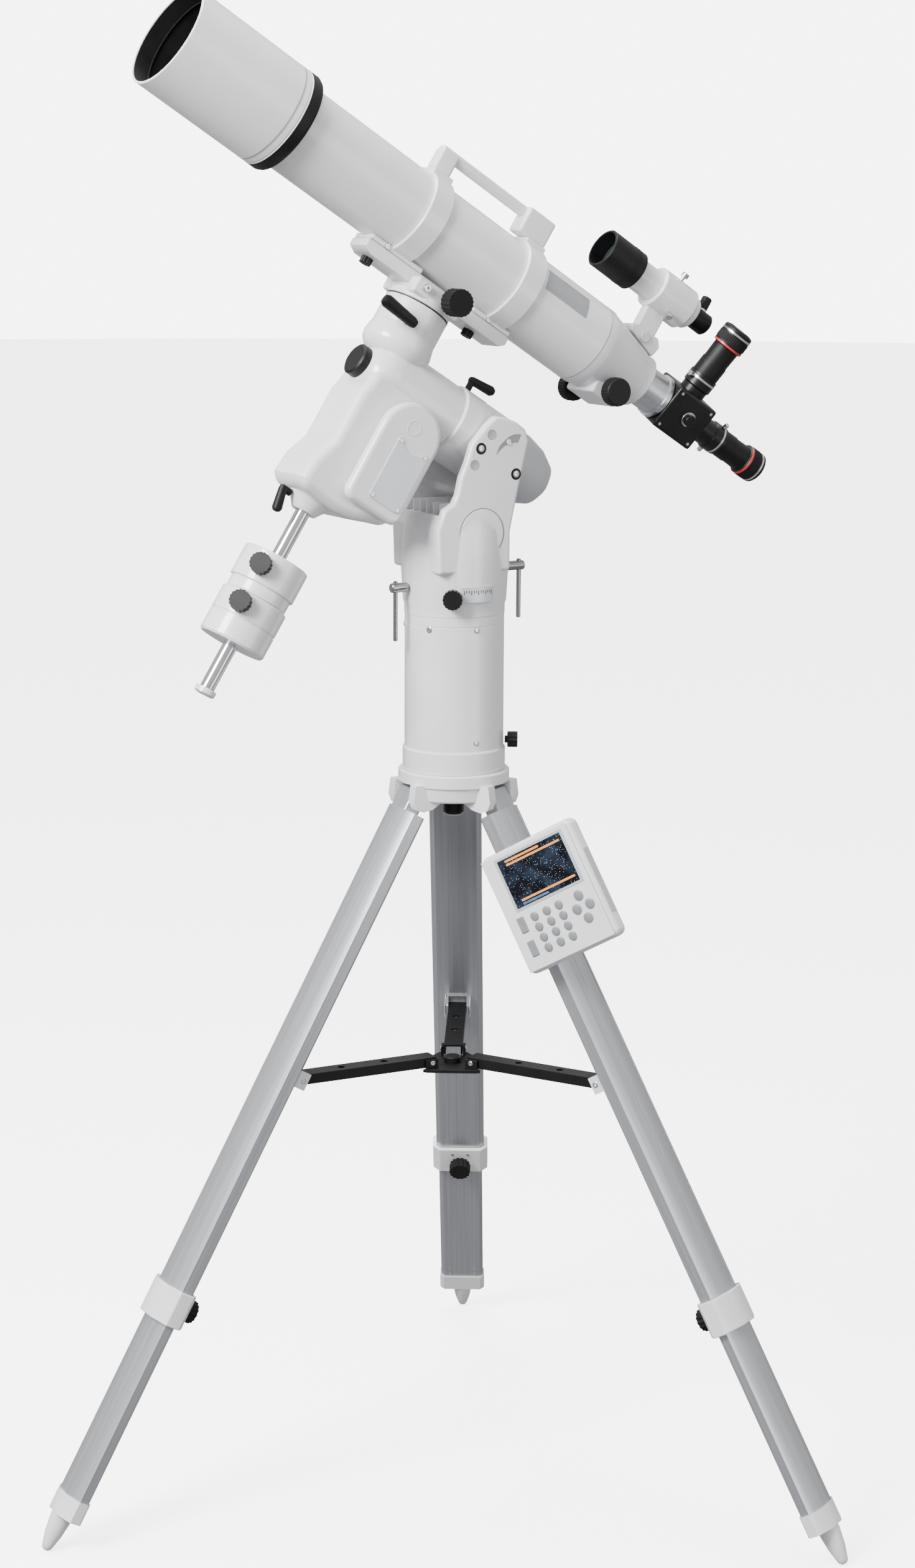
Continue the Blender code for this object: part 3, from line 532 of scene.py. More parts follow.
for side, angle in LEG_ANGLES.items():
    heading = turn(angle - 90, "Z")
    hinge_at = heading @ shift(0, HINGE_R, hinge_height)
    leg = empty("leg_frame_" + side, axis, hinge_at @ Matrix.Rotation(tilt, 4, "X"))
    # two ears on the head, and the leg's tongue between them
    for sign in (-1, 1):
        ear = prism(f"ear_{side}_{sign}", [(-30, -2), (-14, -12), (0, -15), (11, -11), (15, 0),
            (12, 22), (-30, 22)], -8.0, 8.0, axis, heading
            @ shift(sign * EAR_OUT, HINGE_R, hinge_height) @ turn(90, "Z") @ FLAT_XZ)
        fuse(head, ear)
    cut(head, block("tongue_room_" + side, (-22, 22), (-26, 40), (-60, 20), axis, hinge_at))

    upper = prism("leg_upper_" + side, LEG_SECTION, -UPPER_END, -UPPER_START, leg, UP, "silver")
    cut(upper, prism("leg_hollow_" + side, INSIDE, -UPPER_END - 20, -UPPER_START - 14, leg, UP))
    tongue = block("tongue_" + side, (-21, 21), (-12, 12), (-UPPER_START - 6, 12), leg, UP, None, 4, 2)
    fuse(upper, tongue)
    bracket = block("bracket_" + side, (-17.5, 17.5), (-BRACKET_OUT - 7, -half_d + 1),
        both(12, -BRACKET_AT), leg, UP, None, 3, 1)
    cut(bracket, block("bracket_slot_" + side, both(ARM_WIDTH / 2 + 0.4),
        (-BRACKET_OUT - 30, -half_d - 3), both(40, -BRACKET_AT), leg, UP))
    fuse(upper, bracket)

    collar = prism("leg_collar_" + side, inset(LEG_SECTION, -COLLAR_WALL), -COLLAR_END, -COLLAR_START,
        leg, UP, "white", 1.5, 1)
    cut(collar, prism("collar_seat_" + side, inset(LEG_SECTION, -GAP), -UPPER_END - GAP, -COLLAR_START
        + 10, leg, UP), prism("collar_bore_" + side, inset(LOWER_SECTION, -GAP), -COLLAR_END - 10,
        -COLLAR_START, leg, UP))
    face = -half_d - COLLAR_WALL
    knob_at = shift(0, face - 6, -COLLAR_KNOB_AT) @ FLAT_XZ
    clamp_knob("collar_knob_" + side, lobed(COLLAR_KNOB_R, 1.6, 14, 6), 0, 16, 5.0, -5.6, 3, leg,
        knob_at)

    prism("leg_lower_" + side, LOWER_SECTION, -LOWER_END, -LOWER_START, leg, UP, "silver")
    tip = -(hinge_height - FOOT_TIP_R) / cos(tilt)
    foot = prism("leg_foot_" + side, inset(LOWER_SECTION, -2.0), -LOWER_END - 18, -LOWER_END + 12, leg,
        UP, "white")
    cut(foot, prism("foot_seat_" + side, inset(LOWER_SECTION, -GAP), -LOWER_END - GAP, -LOWER_END + 30,
        leg, UP))
    r = FOOT_TIP_R
    bullet = turned("foot_tip_" + side, [(0, -LOWER_END - 6), (14, -LOWER_END - 6),
        (15, -LOWER_END - 24), (12, tip + 16), (r, tip)] + [(r * cos(radians(a)),
        tip - r * sin(radians(a))) for a in (30, 60)] + [(0, tip - r)], leg, UP, steps=16)
    fuse(foot, bullet)

    # spreader arm, from the leg's bracket to the hub
    pivot_r = HINGE_R + BRACKET_AT * sin(tilt) - BRACKET_OUT * cos(tilt)
    pivot_z = hinge_height - BRACKET_AT * cos(tilt) - BRACKET_OUT * sin(tilt)
    run = pivot_r - HUB_PIVOT_R
    rise = pivot_z - HUB_PIVOT_HEIGHT
    arm_length = sqrt(run * run + rise * rise)
    arm_at = heading @ shift(0, pivot_r, pivot_z) @ Matrix.Rotation(atan(rise / run), 4, "X")
    arm = block("spreader_arm_" + side, both(ARM_WIDTH / 2), (-arm_length - 8, 8), both(ARM_HEIGHT / 2),
        axis, arm_at, "black")
    cut(arm, block("arm_channel_" + side, both(ARM_WIDTH / 2 - 2.5), (-arm_length - 20, 20),
        (-20, ARM_HEIGHT / 2 - 2.5), axis, arm_at))
    for place in (0.33, 0.66):
        cut(arm, rod("arm_hole_%s_%d" % (side, place * 100), 5.0, -20, 20, axis, arm_at
            @ shift(0, -arm_length * place, 0), steps=14))

turned("head_knob", [(0, HEAD_BOTTOM - GAP), (30, HEAD_BOTTOM - GAP), (30, HEAD_BOTTOM - 6),
    (14, HEAD_BOTTOM - 9), (14, HEAD_BOTTOM - 24), (11, HEAD_BOTTOM - 27), (0, HEAD_BOTTOM - 27)], axis,
    UP, "black", 24)

turned("half_pillar", [(0, PILLAR_TOP - GAP), (PILLAR_R, PILLAR_TOP - GAP), (PILLAR_R, 1218),
    (PILLAR_R - 0.8, 1217), (PILLAR_R, 1216), (PILLAR_R, 1048), (PILLAR_R + 2.5, 1045),
    (PILLAR_R + 2.5, HEAD_TOP + 6), (PILLAR_R + 1, HEAD_TOP + GAP), (0, HEAD_TOP + GAP)], axis, UP,
    "white", 32)
clamp_knob("pillar_knob", lobed(11, 1.0, 12, 6), 4, 18, 5, 0.2, 8, axis,
    aim(PILLAR_R + 1.5, 0, 1055, TO_X), 12)

# ---- mount base
base = empty("base_frame", axis, turn(AZIMUTH, "Z"))
low = [(0, 1378), (56, 1378), (64, 1368), (70, 1345), (73, 1300), (70, 1248), (68, 1242),
    (68, PILLAR_TOP), (0, PILLAR_TOP)]
mount = turned("mount_base", low, base, UP, "white", 32)
FORK = [(60, 1290), (62, 1350), (52, 1376), (38, 1384), (32, 1396), (27, 1418), (18, 1438), (10, 1462),
    (-12, 1486), (-26, 1497), (-42, 1495), (-60, 1487), (-73, 1477), (-78, 1463), (-70, 1430),
    (-60, 1388), (-50, 1342), (-50, 1290)]
fork = prism("fork_sides", FORK, -FORK_HALF, FORK_HALF, base, FLAT_XZ, None, 5.0, 2)
fuse(mount, fork)
ROOM = [(120, 1620), (120, 1382), (46, 1366), (-46, 1366), (-62, 1360), (-130, 1340), (-130, 1620)]
cut(mount, prism("fork_room", ROOM, -FORK_INSIDE, FORK_INSIDE, base, FLAT_XZ))

for name, end, height, sign in (("altitude_bolt_front", 98, 1268, 1),
        ("altitude_bolt_rear", -108, 1287, -1)):
    bolt = rod(name, 6.5, 73.6, abs(end), base, shift(0, 0, height) @ turn(90 * sign, "Y"), "silver",
        16, 1.0)
    bar_at = sign * (abs(end) - 7)
    fuse(bolt, rod(name + "_bar", 3.2, -72, 9, base, shift(bar_at, 0, height), steps=10, soft=1))

for name, heading in (("azimuth_knob", 270.0), ("azimuth_knob_far", 90.0)):
    at = turn(heading, "Z") @ shift(71.5, 0, 1257) @ ALONG_X
    clamp_knob(name, lobed(13.5, 1.0, 16, 6), 3.0, 16.0, 6, 1.0, 6, axis, at)

# ---- polar axis
pivot = empty("altitude_pivot", base, shift(PIVOT_U, 0, PIVOT_W))
polar = empty("polar_frame", pivot, shift(AXES_U - PIVOT_U, 0, AXES_W - PIVOT_W) @ turn(-LATITUDE, "Y"))
turned("ra_housing", [(0, RA_SEAM - GAP), (RA_R + 1, RA_SEAM - GAP), (RA_R + 3.5, RA_SEAM - 3),
    (RA_R + 3.5, -150), (RA_R + 3, -152), (RA_R + 3, -214), (0, -214)], polar, ALONG_X, "white", 28)
turned("ra_rear_cover", [(0, -214 - GAP), (RA_R + 1, -214 - GAP), (RA_R, -236), (43, -262), (32, -284),
    (18, -293), (0, -295)], polar, ALONG_X, "grey", 32)

HOUSING = [(30, -4), (32, -24), (36, -40), (36, -112), (49, -146), (52, -176), (45, -188), (-9, -193),
    (-40, -190), (-70, -179), (-92, -172), (-97, -160), (-97, -62), (-84, -30), (-50, -6), (0, 8)]
dec = turned("dec_housing", [(0, DEC_SEAM - 0.5), (DEC_R - 1, DEC_SEAM - 0.5), (DEC_R, DEC_SEAM - 2),
    (DEC_R, 66), (DEC_R - 0.7, 65), (DEC_R, 64), (48.5, 47), (47, 37), (40, 28), (33, 23), (30, -60),
    (0, -62)], polar, UP, "white", 28)
fuse(dec, turned("ra_neck", [(0, 33), (24, 33), (33, 29), (42, 20), (46.5, 9), (RA_R, -6),
    (RA_R, RA_SEAM), (0, RA_SEAM)], polar, ALONG_X, steps=28), prism("lower_housing", HOUSING, -46, 46,
    polar, FLAT_XZ, None, 14.0, 2), turned("shaft_boss", [(0, -170), (34, -170), (30, -190), (17, -208),
    (0, -208)], polar, shift(SHAFT_P, 0, 0), steps=24))
cut(dec, rod("shaft_bore", SHAFT_R + GAP, -260, -150, polar, shift(SHAFT_P, 0, 0), steps=20))

cover_outline = arc(-51, -58, 46, 180, 0, 12) + [(-5, -152)]
cover_outline += arc(-19, -156, 14, 0, -90, 3) + arc(-83, -156, 14, -90, -180, 3)
prism("motor_cover", cover_outline, -64, -46 - GAP, polar, FLAT_XZ, "white", 7.0, 2)

turned("polar_cap", [(0, 46), (19, 46), (22, 44), (22, 33 + GAP), (0, 33 + GAP)], polar, ALONG_X,
    "black", 28)


def lever(name, root, elbow, tip, radius, stub_radius):
    """A clamp lever: a thin stub from root to elbow, and a rounded grip from there to its tip."""
    root, elbow, tip = Vector(root), Vector(elbow), Vector(tip)
    length = (tip - elbow).length
    made = turned(name, [(0, length + radius * 0.8), (radius * 0.7, length + radius * 0.6),
        (radius, length), (radius * 0.82, 0), (radius * 0.6, -radius * 0.6), (0, -radius * 0.8)], polar,
        aim(*elbow, tip - elbow), "black", 16)
    stub = rod(name + "_stub", stub_radius, 0, (elbow - root).length, polar, aim(*root, elbow - root),
        steps=12)
    fuse(made, stub)


lever("ra_clamp_lever", (-124, 0, RA_R + 3.8), (-124, 0, 66), (-158, -4, 70), 7.0, 4.5)
lever("dec_clamp_lever", (24, 41.2, 70), (24, 56, 70), (68, 50, 75), 9.0, 4.5)
lever("shaft_clamp_lever", (SHAFT_P + 29.6, 0, -196), (46, 0, -196), (40, 0, -222), 7.0, 5.0)

shaft_at = shift(SHAFT_P, 0, 0)
turned("counterweight_shaft", [(0, -152), (SHAFT_R, -152), (SHAFT_R, SHAFT_END + 8),
    (14, SHAFT_END + 8), (14, SHAFT_END + 1), (12, SHAFT_END), (0, SHAFT_END)], polar, shaft_at,
    "steel", 24)
bore = SHAFT_R + GAP
turned("counterweight_upper", [(bore, -279), (WEIGHT_R - 2, -279), (WEIGHT_R, -281), (WEIGHT_R, -322),
    (WEIGHT_R - 3, -324), (WEIGHT_R - 3, -336), (WEIGHT_R - 4, -339), (bore, -339)], polar, shaft_at,
    "white", 28, True)
turned("counterweight_lower", [(bore, -340), (WEIGHT_R - 1, -340), (WEIGHT_R + 0.5, -342),
    (WEIGHT_R + 0.5, -372), (WEIGHT_R - 1, -373), (WEIGHT_R - 1, -374), (WEIGHT_R + 0.5, -375),
    (WEIGHT_R + 0.5, -403), (WEIGHT_R - 1.5, -406), (bore, -406)], polar, shaft_at, "white", 28, True)
for name, height in (("counterweight_knob_upper", -301), ("counterweight_knob_lower", -356)):
    a = radians(WEIGHT_KNOB_TURN)
    at = aim(SHAFT_P + (WEIGHT_R + 1) * cos(a), (WEIGHT_R + 1) * sin(a), height, (cos(a), sin(a), 0))
    clamp_knob(name, lobed(14.5, 1.1, 16, 6), 3, 16, 6, 0.2, 6, polar, at)

# ---- saddle and rings
saddle = turned("dec_saddle", [(0, 116), (DEC_R - 3, 116), (DEC_R, 113), (DEC_R, DEC_SEAM + 1),
    (DEC_R - 1.5, DEC_SEAM), (0, DEC_SEAM)], polar, UP, "white", 28)
fuse(saddle, block("saddle_jaws", (-40, 40), (-43, 43), (108, 131), polar, UP, None, 4.0, 2))
cut(saddle, block("saddle_slot", (-80, 80), (-23.5, 23.5), (119, 160), polar, UP))
clamp_knob("saddle_knob", lobed(18.5, 1.0, 20, 6), 8, 31, 6.5, 0.3, 12, polar, aim(-16, 43, 124, TO_Y))

ring_low = TUBE_Q - RING_R
plate_outline = [(120, ring_low - GAP - 1), (112, ring_low - GAP), (-122, ring_low - GAP),
    (-130, ring_low - GAP - 1), (-130, 126), (-122, 119 + GAP), (108, 119 + GAP), (120, 126)]
prism("dovetail_plate", plate_outline, -23, 23, polar, FLAT_XZ, "white", 1.5, 1)

for name, centre, foot_from, foot_to in (("tube_ring_front", RING_FRONT_P, 30, 118),
        ("tube_ring_rear", RING_REAR_P, -128, -62)):
    z0, z1 = both(RING_WIDTH / 2, centre)
    inner = TUBE_R + GAP
    ring_at = shift(0, 0, TUBE_Q) @ ALONG_X
    ring = turned(name, [(inner, z1), (RING_R - 1, z1), (RING_R, z1 - 1), (RING_R, z0 + 1),
        (RING_R - 1, z0), (inner, z0)], polar, ring_at, "white", 32, True)
    foot = block(name + "_foot", (foot_from, foot_to), (-23, 23), (ring_low, ring_low + 7), polar, UP,
        None, 1.5, 1)
    pad = block(name + "_pad", (z0, z1), (-20, 20), (TUBE_Q + 58.5, TUBE_Q + 66), polar, UP, None, 1.0,
        1)
    ears = block(name + "_ears", (z0 + 3, z1 - 3), (-76, 0), (TUBE_Q - 8, TUBE_Q + 8), polar, UP, None,
        2.0, 1)
    fuse(ring, foot, pad, ears)
    cut(ring, rod(name + "_bore", inner, -300, 300, polar, ring_at, steps=32))

handle_q = TUBE_Q + 95
handle = rod("carry_handle", 8.0, -88, 82, polar, shift(0, 0, handle_q) @ ALONG_X, "white", 18, 3)
top = TUBE_Q + 66 + GAP
fuse(handle, block("handle_rear", (-117, -70), (-15, 15), (top, handle_q + 9), polar, UP, None, 4.0, 2),
    block("handle_front", (54, 82), (-11, 11), (top, handle_q + 3), polar, UP, None, 4.0, 2))

# ---- optical tube
tube_at = shift(0, 0, TUBE_Q) @ ALONG_X
inner = TUBE_R - TUBE_WALL
turned("main_tube", [(inner, TUBE_FRONT), (TUBE_R, TUBE_FRONT), (TUBE_R, TUBE_REAR),
    (inner, TUBE_REAR)], polar, tube_at, "white", 32, True)
turned("dew_shield", [(DEW_R - 3, DEW_FRONT), (DEW_R - 0.8, DEW_FRONT), (DEW_R, DEW_FRONT - 1),
    (DEW_R, 306), (DEW_R - 0.8, 305), (DEW_R - 0.8, 304), (DEW_R, 303), (DEW_R, 290),
    (DEW_R - 2, TUBE_FRONT - 1), (TUBE_R + GAP, TUBE_FRONT - 1), (TUBE_R + GAP, TUBE_FRONT + GAP),
    (inner, TUBE_FRONT + GAP), (inner, 296), (DEW_R - 3, 297)], polar, tube_at, "white", 32, True)
turned("objective_lens", [(0, 287), (20, 286.3), (40, 284), (inner - GAP, 280), (inner - GAP, 268),
    (0, 268)], polar, tube_at, "glass", 28)
bore = DRAW_R + 0.4
focuser = turned("focuser_body", [(bore, TUBE_REAR - GAP), (TUBE_R, TUBE_REAR - GAP), (TUBE_R, -256),
    (TUBE_R - 2, -262), (41, -330), (38, -338), (38, -350), (36, -352), (bore, -352)], polar, tube_at,
    "white", 32, True)
fuse(focuser, block("pinion_housing", (FOCUS_P - 24, FOCUS_P + 22), (-34, 34), (FOCUS_Q - 13, 176),
    polar, UP, None, 4, 2))
cut(focuser, rod("pinion_bore", 4.3, -60, 60, polar, aim(FOCUS_P, 0, FOCUS_Q, TO_Y), steps=16),
    rod("draw_bore", bore, -400, -200, polar, tube_at, steps=32))
KNOB = [(0, 65), (17.5, 65), (19, 63.5), (19, 48), (17, 46.5), (6, 46.5), (6, 34 + GAP), (4, 34 + GAP)]
turned("focus_knobs", KNOB + [(r, -z) for r, z in reversed(KNOB)], polar,
    aim(FOCUS_P, 0, FOCUS_Q, TO_Y), "black", 20)
turned("drawtube", [(DRAW_R - 2.5, -292), (DRAW_R, -292), (DRAW_R, -386), (DRAW_R + 3, -387),
    (DRAW_R + 3, DRAW_END), (DRAW_R - 2.5, DRAW_END)], polar, tube_at, "silver", 32, True)

box_at = shift((BOX_P[0] + BOX_P[1]) / 2, 0, TUBE_Q) @ turn(-BOX_TURN, "X")
box_half = (BOX_P[0] - BOX_P[1]) / 2 - GAP
mirror_box = block("flip_mirror_box", both(box_half), both(BOX_HALF), both(BOX_HALF), polar, box_at,
    "anodised", 4.0, 2)
fuse(mirror_box, rod("box_front", 24, 25, box_half + 0.2, polar, box_at @ ALONG_X, steps=24),
    turned("rear_port", [(0, -20), (19, -20), (19, -62), (21, -64), (21, -84), (0, -84)], polar, box_at
    @ ALONG_X, steps=24), turned("side_port", [(0, 62), (21, 62), (21, 44), (19, 42), (19, 20),
    (0, 20)], polar, box_at, steps=24))
cut(mirror_box, rod("rear_bore", 16.2, -120, -60, polar, box_at @ ALONG_X, steps=24),
    rod("side_bore", 16.2, 40, 100, polar, box_at, steps=24))

# the two eyepieces: barrel in the port, body and rubber eye cup above it
EYEPIECES = (("straight", box_at @ shift(-84, 0, 0) @ turn(-90, "Y")),
    ("side", box_at @ shift(0, 0, 62)))
for name, matrix in EYEPIECES:
    turned("eyepiece_" + name, [(0, 78), (20, 78), (22.3, 76), (22.3, 50), (19, 48), (18.5, 24),
        (19.5, 22), (19.5, GAP), (15.9, GAP), (15.9, -20), (0, -20)], polar, matrix, "black", 24)

finder_at = shift(0, 0, FINDER_Q) @ ALONG_X
cap = FINDER_R + 6
finder = turned("finder_tube", [(0, -226), (cap - 3, -226), (cap - 3, -203), (cap - 0.6, -203),
    (cap, -204), (cap, -262), (FINDER_R, -265), (FINDER_R, -374), (15, -376), (15, -404), (13, -406),
    (0, -406)], polar, finder_at, "white", 24)
fuse(finder, rod("finder_light", 7, 12, 34, polar, aim(-388, 0, FINDER_Q, TO_Z), steps=14, soft=1.5))
seat = FINDER_R + GAP
holder = turned("finder_bracket", [(seat, -301), (seat + 6.5, -301), (seat + 7.5, -302),
    (seat + 7.5, -361), (seat + 6.5, -362), (seat, -362)], polar, finder_at, "white", 24, True)
fuse(holder, block("finder_stalk", (-338, -304), (-8, 8), (TUBE_Q + 50, FINDER_Q - seat - 2), polar, UP,
    None, 3, 2))
shoe = prism("finder_shoe", [(-344, 236), (-296, 249.5), (-292, 256), (-300, 262), (-340, 262),
    (-348, 252)], -16, 16, polar, FLAT_XZ, None, 1.5, 1)
fuse(holder, shoe)
cut(holder, rod("finder_seat", seat, -400, -250, polar, finder_at, steps=24),
    turned("focuser_room", [(0, TUBE_REAR + 20), (TUBE_R + GAP, TUBE_REAR + 20), (TUBE_R + GAP, -256),
    (TUBE_R - 2 + GAP, -262.2), (41 + GAP, -330.2), (38 + GAP, -338.2), (38 + GAP, -380), (0, -380)],
    polar, tube_at, steps=32))

# ---- hand controller
right_leg = bpy.data.objects["leg_frame_right"]
gap_x = half_w + GAP
block("controller_clip", (gap_x, gap_x + 9), (-10, 26), both(30, -PAD_AT), right_leg, UP, "black", 2, 1)
pad_x = gap_x + 9 + GAP
block("hand_controller", (pad_x, pad_x + PAD_DEPTH), both(PAD_WIDTH / 2, PAD_OUT),
    both(PAD_LENGTH / 2, -PAD_AT), right_leg, UP, "black", 10.0, 3)

# ---- small pieces

rides = {}


def on(made, body="optical_tube"):
    """A small piece rides on a body of the frame."""
    rides[made.name] = body


def screw_head(name, radius, height, parent, matrix, body):
    """A cap screw with a hexagon socket."""
    made = turned(name, [(0, height), (radius * 0.8, height), (radius, height * 0.6), (radius, -0.3),
        (0, -0.3)], parent, matrix, "screw", 10)
    hexagon = [(radius * 0.48 * cos(pi / 3 * i), radius * 0.48 * sin(pi / 3 * i)) for i in range(6)]
    cut(made, prism(name + "_hex", hexagon, height * 0.35, height + 2, parent, matrix))
    on(made, body)


# mount: name plate with a concave top edge, its four screws, and the round plug above it
bow = [(-39 - 44 * f, -68 - 9 * sin(pi * f)) for f in [i / 12 for i in range(13)]]
plate = [(-35, -150), (-35, -67), (-39, -64)] + bow[1:-1] + [(-83, -66), (-87, -69), (-87, -150),
    (-83, -154), (-39, -154)]
on(prism("mount_plate", plate, -65.2, -63.5, polar, FLAT_XZ, "pale", 0.4, 1), "ra_body")
for i, (x, z) in enumerate(((-39.5, -69), (-82.5, -71), (-82.5, -149.5), (-39.5, -149.5))):
    screw_head(f"mount_plate_screw_{i}", 3.2, 1.2, polar, aim(x, 65.0, z, TO_Y), "ra_body")
on(turned("mount_plug", [(9.0, 64.3), (9.6, 64.5), (10.2, 64.3), (10.2, 63.6), (9.0, 63.6)], polar,
    aim(-48, 0, -46, TO_Y), "white", 24, True), "ra_body")


def cheek(sign, x, z):
    """A place on one side of the fork, pointing out."""
    return aim(x, sign * FORK_HALF, z, (0, sign, 0))


def fork_disc(name, profile, sign, x, z, look, steps, closed=False):
    on(turned(name, profile, base, cheek(sign, x, z), look, steps, closed), "mount_base")


# fork: round cover, two socket screws, two holes and the curved slot on each cheek; the groove round the
# cover, the holes and the slot are dark grey marks laid on the surface, painted shade, not cut
for sign, tag in ((1, "near"), (-1, "far")):
    fork_disc("fork_cover_" + tag, [(0, 1.0), (31.0, 1.0), (32.5, 0.4), (32.5, -0.5), (0, -0.5)], sign,
        -5, 1342, "white", 28)
    # the groove round the cover is not cut: a thin dark grey ring laid on the cheek, painted shade where
    # the groove would be
    fork_disc("fork_groove_" + tag, [(32.9, 0.15), (34.3, 0.15), (34.3, -0.4), (32.9, -0.4)], sign, -5,
        1342, "key", 28, True)
    for i, (x, z) in enumerate(((-3, 1455), (-57, 1419))):
        fork_disc(f"fork_washer_{tag}_{i}", [(4.4, 0.5), (7.2, 0.5), (7.8, 0.1), (7.8, -0.4),
            (4.4, -0.4)], sign, x, z, "black", 16, True)
        screw_head(f"fork_screw_{tag}_{i}", 4.6, 1.4, base, cheek(sign, x, z), "mount_base")
    # the two holes are not cut: grey discs with a raised rim, painted shade where the open holes would be
    for i, (x, z) in enumerate(((-19, 1473), (7, 1434))):
        fork_disc(f"fork_hole_{tag}_{i}", [(0, 0.15), (5.6, 0.15), (6.4, 0.5), (7.0, 0.1), (7.0, -0.4),
            (0, -0.4)], sign, x, z, "stripe", 16)
    # the curved slot is not cut: a thin dark grey sheet on the cheek, painted shade where the slot's recess
    # would be
    slot_line = [(-28 - 34 * f, 1451 + 15 * f + 6 * sin(pi * f)) for f in [i / 10 for i in range(11)]]
    outline = [(x - 2.5, z + 5.5) for x, z in slot_line]
    outline += [(x + 2.5, z - 5.5) for x, z in reversed(slot_line)]
    y0, y1 = (FORK_HALF - 0.3, FORK_HALF + 0.25) if sign < 0 else (-FORK_HALF - 0.25, -FORK_HALF + 0.3)
    on(prism("fork_slot_" + tag, outline, y0, y1, base, FLAT_XZ, "key", 0.0), "mount_base")
    screw_head("fork_slot_screw_" + tag, 4.2, 1.6, base, cheek(sign, -45, 1462), "mount_base")

# ribs in the open room of the fork
for i, y in enumerate((-36, -18, 0, 18, 36)):
    on(block(f"fork_rib_{i}", (-44, 44), both(1.5, y), (1362, 1382), base, UP, "white", 0.8, 1),
        "mount_base")
on(block("fork_rib_cross", (-2, 2), (-50, 50), (1362, 1380), base, UP, "white", 0.8, 1), "mount_base")

# scale plate beside the azimuth knob, with its tick marks, in degrees round the tripod's axis
SCALE_FROM, SCALE_TO = 279, 316
TICK_FROM, TICK_STEP = 282, 2.6
for i in range(13):
    a = TICK_FROM + i * TICK_STEP
    high = 6 if i % 3 == 0 else 3.5
    on(block(f"azimuth_tick_{i}", (73.55, 74.1), (-0.4, 0.4), (1268 - high, 1268), axis, turn(a, "Z"),
        "black"), "mount_base")
band = arc(0, 0, 73.9, SCALE_FROM, SCALE_TO, 16) + list(reversed(arc(0, 0, 72.0, SCALE_FROM, SCALE_TO, 16)))
on(prism("azimuth_scale", band, 1252, 1272, axis, UP, "pale", 0.0), "mount_base")

# half pillar and head
for i, (a, z, r) in enumerate(((298, 1213.5, 4.2), (298, 1060, 4.0), (242, 1213.5, 4.2),
        (180, 1213.5, 4.2), (60, 1213.5, 4.2), (120, 1060, 4.0))):
    screw_head(f"pillar_screw_{i}", r, 1.2, axis, turn(a, "Z") @ aim(PILLAR_R - 0.2, 0, z, TO_X),
        "tripod")
on(rod("head_knob_cap", 12.5, HEAD_BOTTOM - 28.2, HEAD_BOTTOM - 26.5, axis, UP, "white", 16, 0.8),
    "head_knob")

# legs: screws on the collars and lower tubes, white spreader brackets, pivot pins
for side, angle in LEG_ANGLES.items():
    leg = bpy.data.objects["leg_frame_" + side]
    upper_body, lower_body = "leg_" + side, "leg_extension_" + side
    for sign in (-1, 1):
        inner = aim(sign * 12, -half_d - COLLAR_WALL, -741, (0, -1, 0))
        screw_head(f"collar_screw_{side}_{sign}", 2.2, 0.9, leg, inner, upper_body)
        for down in (5, 15):
            at = aim(sign * 20, -half_d + LEG_WALL + 0.6, -LOWER_END + 14 + down, (0, -1, 0))
            screw_head(f"foot_screw_{side}_{sign}_{down}", 2.1, 0.8, leg, at, lower_body)
        at = aim(sign * 17.5, -BRACKET_OUT, -BRACKET_AT, (sign, 0, 0))
        screw_head(f"bracket_pin_{side}_{sign}", 4.6, 1.6, leg, at, upper_body)
        cheek_x = (17.6, 18.6) if sign > 0 else (-18.6, -17.6)
        on(block(f"bracket_cheek_{side}_{sign}", cheek_x, (-BRACKET_OUT - 7, -half_d - 0.2),
            both(12, -BRACKET_AT), leg, UP, "white", 0.4, 1), upper_body)
    for x, tag in ((-half_w + 23.5, "a"), (half_w - 23.5, "b")):
        on(block(f"leg_line_{side}_{tag}", both(0.5, x), (half_d - 0.1, half_d + 0.35),
            (-UPPER_END + 16, -UPPER_START - 3), leg, UP, "stripe"), upper_body)
    for sign in (-1, 1):
        out = sign * (ARM_WIDTH / 2 + HUB_CLEAR + HUB_CHEEK)
        at = turn(angle - 90, "Z") @ shift(0, HUB_PIVOT_R, HUB_PIVOT_HEIGHT) @ aim(out, 0, 0, (sign, 0, 0))
        screw_head(f"hub_pin_{side}_{sign}", 3.6, 1.3, axis, at, "spreader_hub")

# counterweight end ring
on(turned("shaft_ring", [(10.4, SHAFT_END + 8.2), (14.4, SHAFT_END + 8.2), (14.4, SHAFT_END + 1.4),
    (12.2, SHAFT_END - 0.2), (10.4, SHAFT_END - 0.2)], polar, shaft_at, "white", 20, True), "ra_body")

# saddle bolt and ring clamp screws
screw_head("saddle_bolt", 5.6, 5.0, polar, aim(24, 43, 121, TO_Y), "optical_tube")
for name, centre in (("front", RING_FRONT_P), ("rear", RING_REAR_P)):
    on(turned("ring_knob_" + name, [(0, 9), (6, 9), (7.5, 7.5), (7.5, 1), (6.5, 0.2), (0, 0.2)], polar,
        aim(centre, -70, TUBE_Q + 8, TO_Z), "black", 14))
    screw_head("ring_foot_screw_" + name, 4.0, 1.6, polar, aim(centre + (24 if name == "front" else 12),
        23, ring_low + 3.4, TO_Y), "optical_tube")
    knob_at = aim(centre + (30 if name == "front" else 18), 0, 119, (0, 0, -1))
    on(prism("plate_knob_" + name, lobed(8.5, 1.0, 8), 0, 9, polar, knob_at, "black", 0.8, 1))


def tube_ring(name, profile, look, steps=32, at=tube_at):
    on(turned(name, profile, polar, at, look, steps, True))


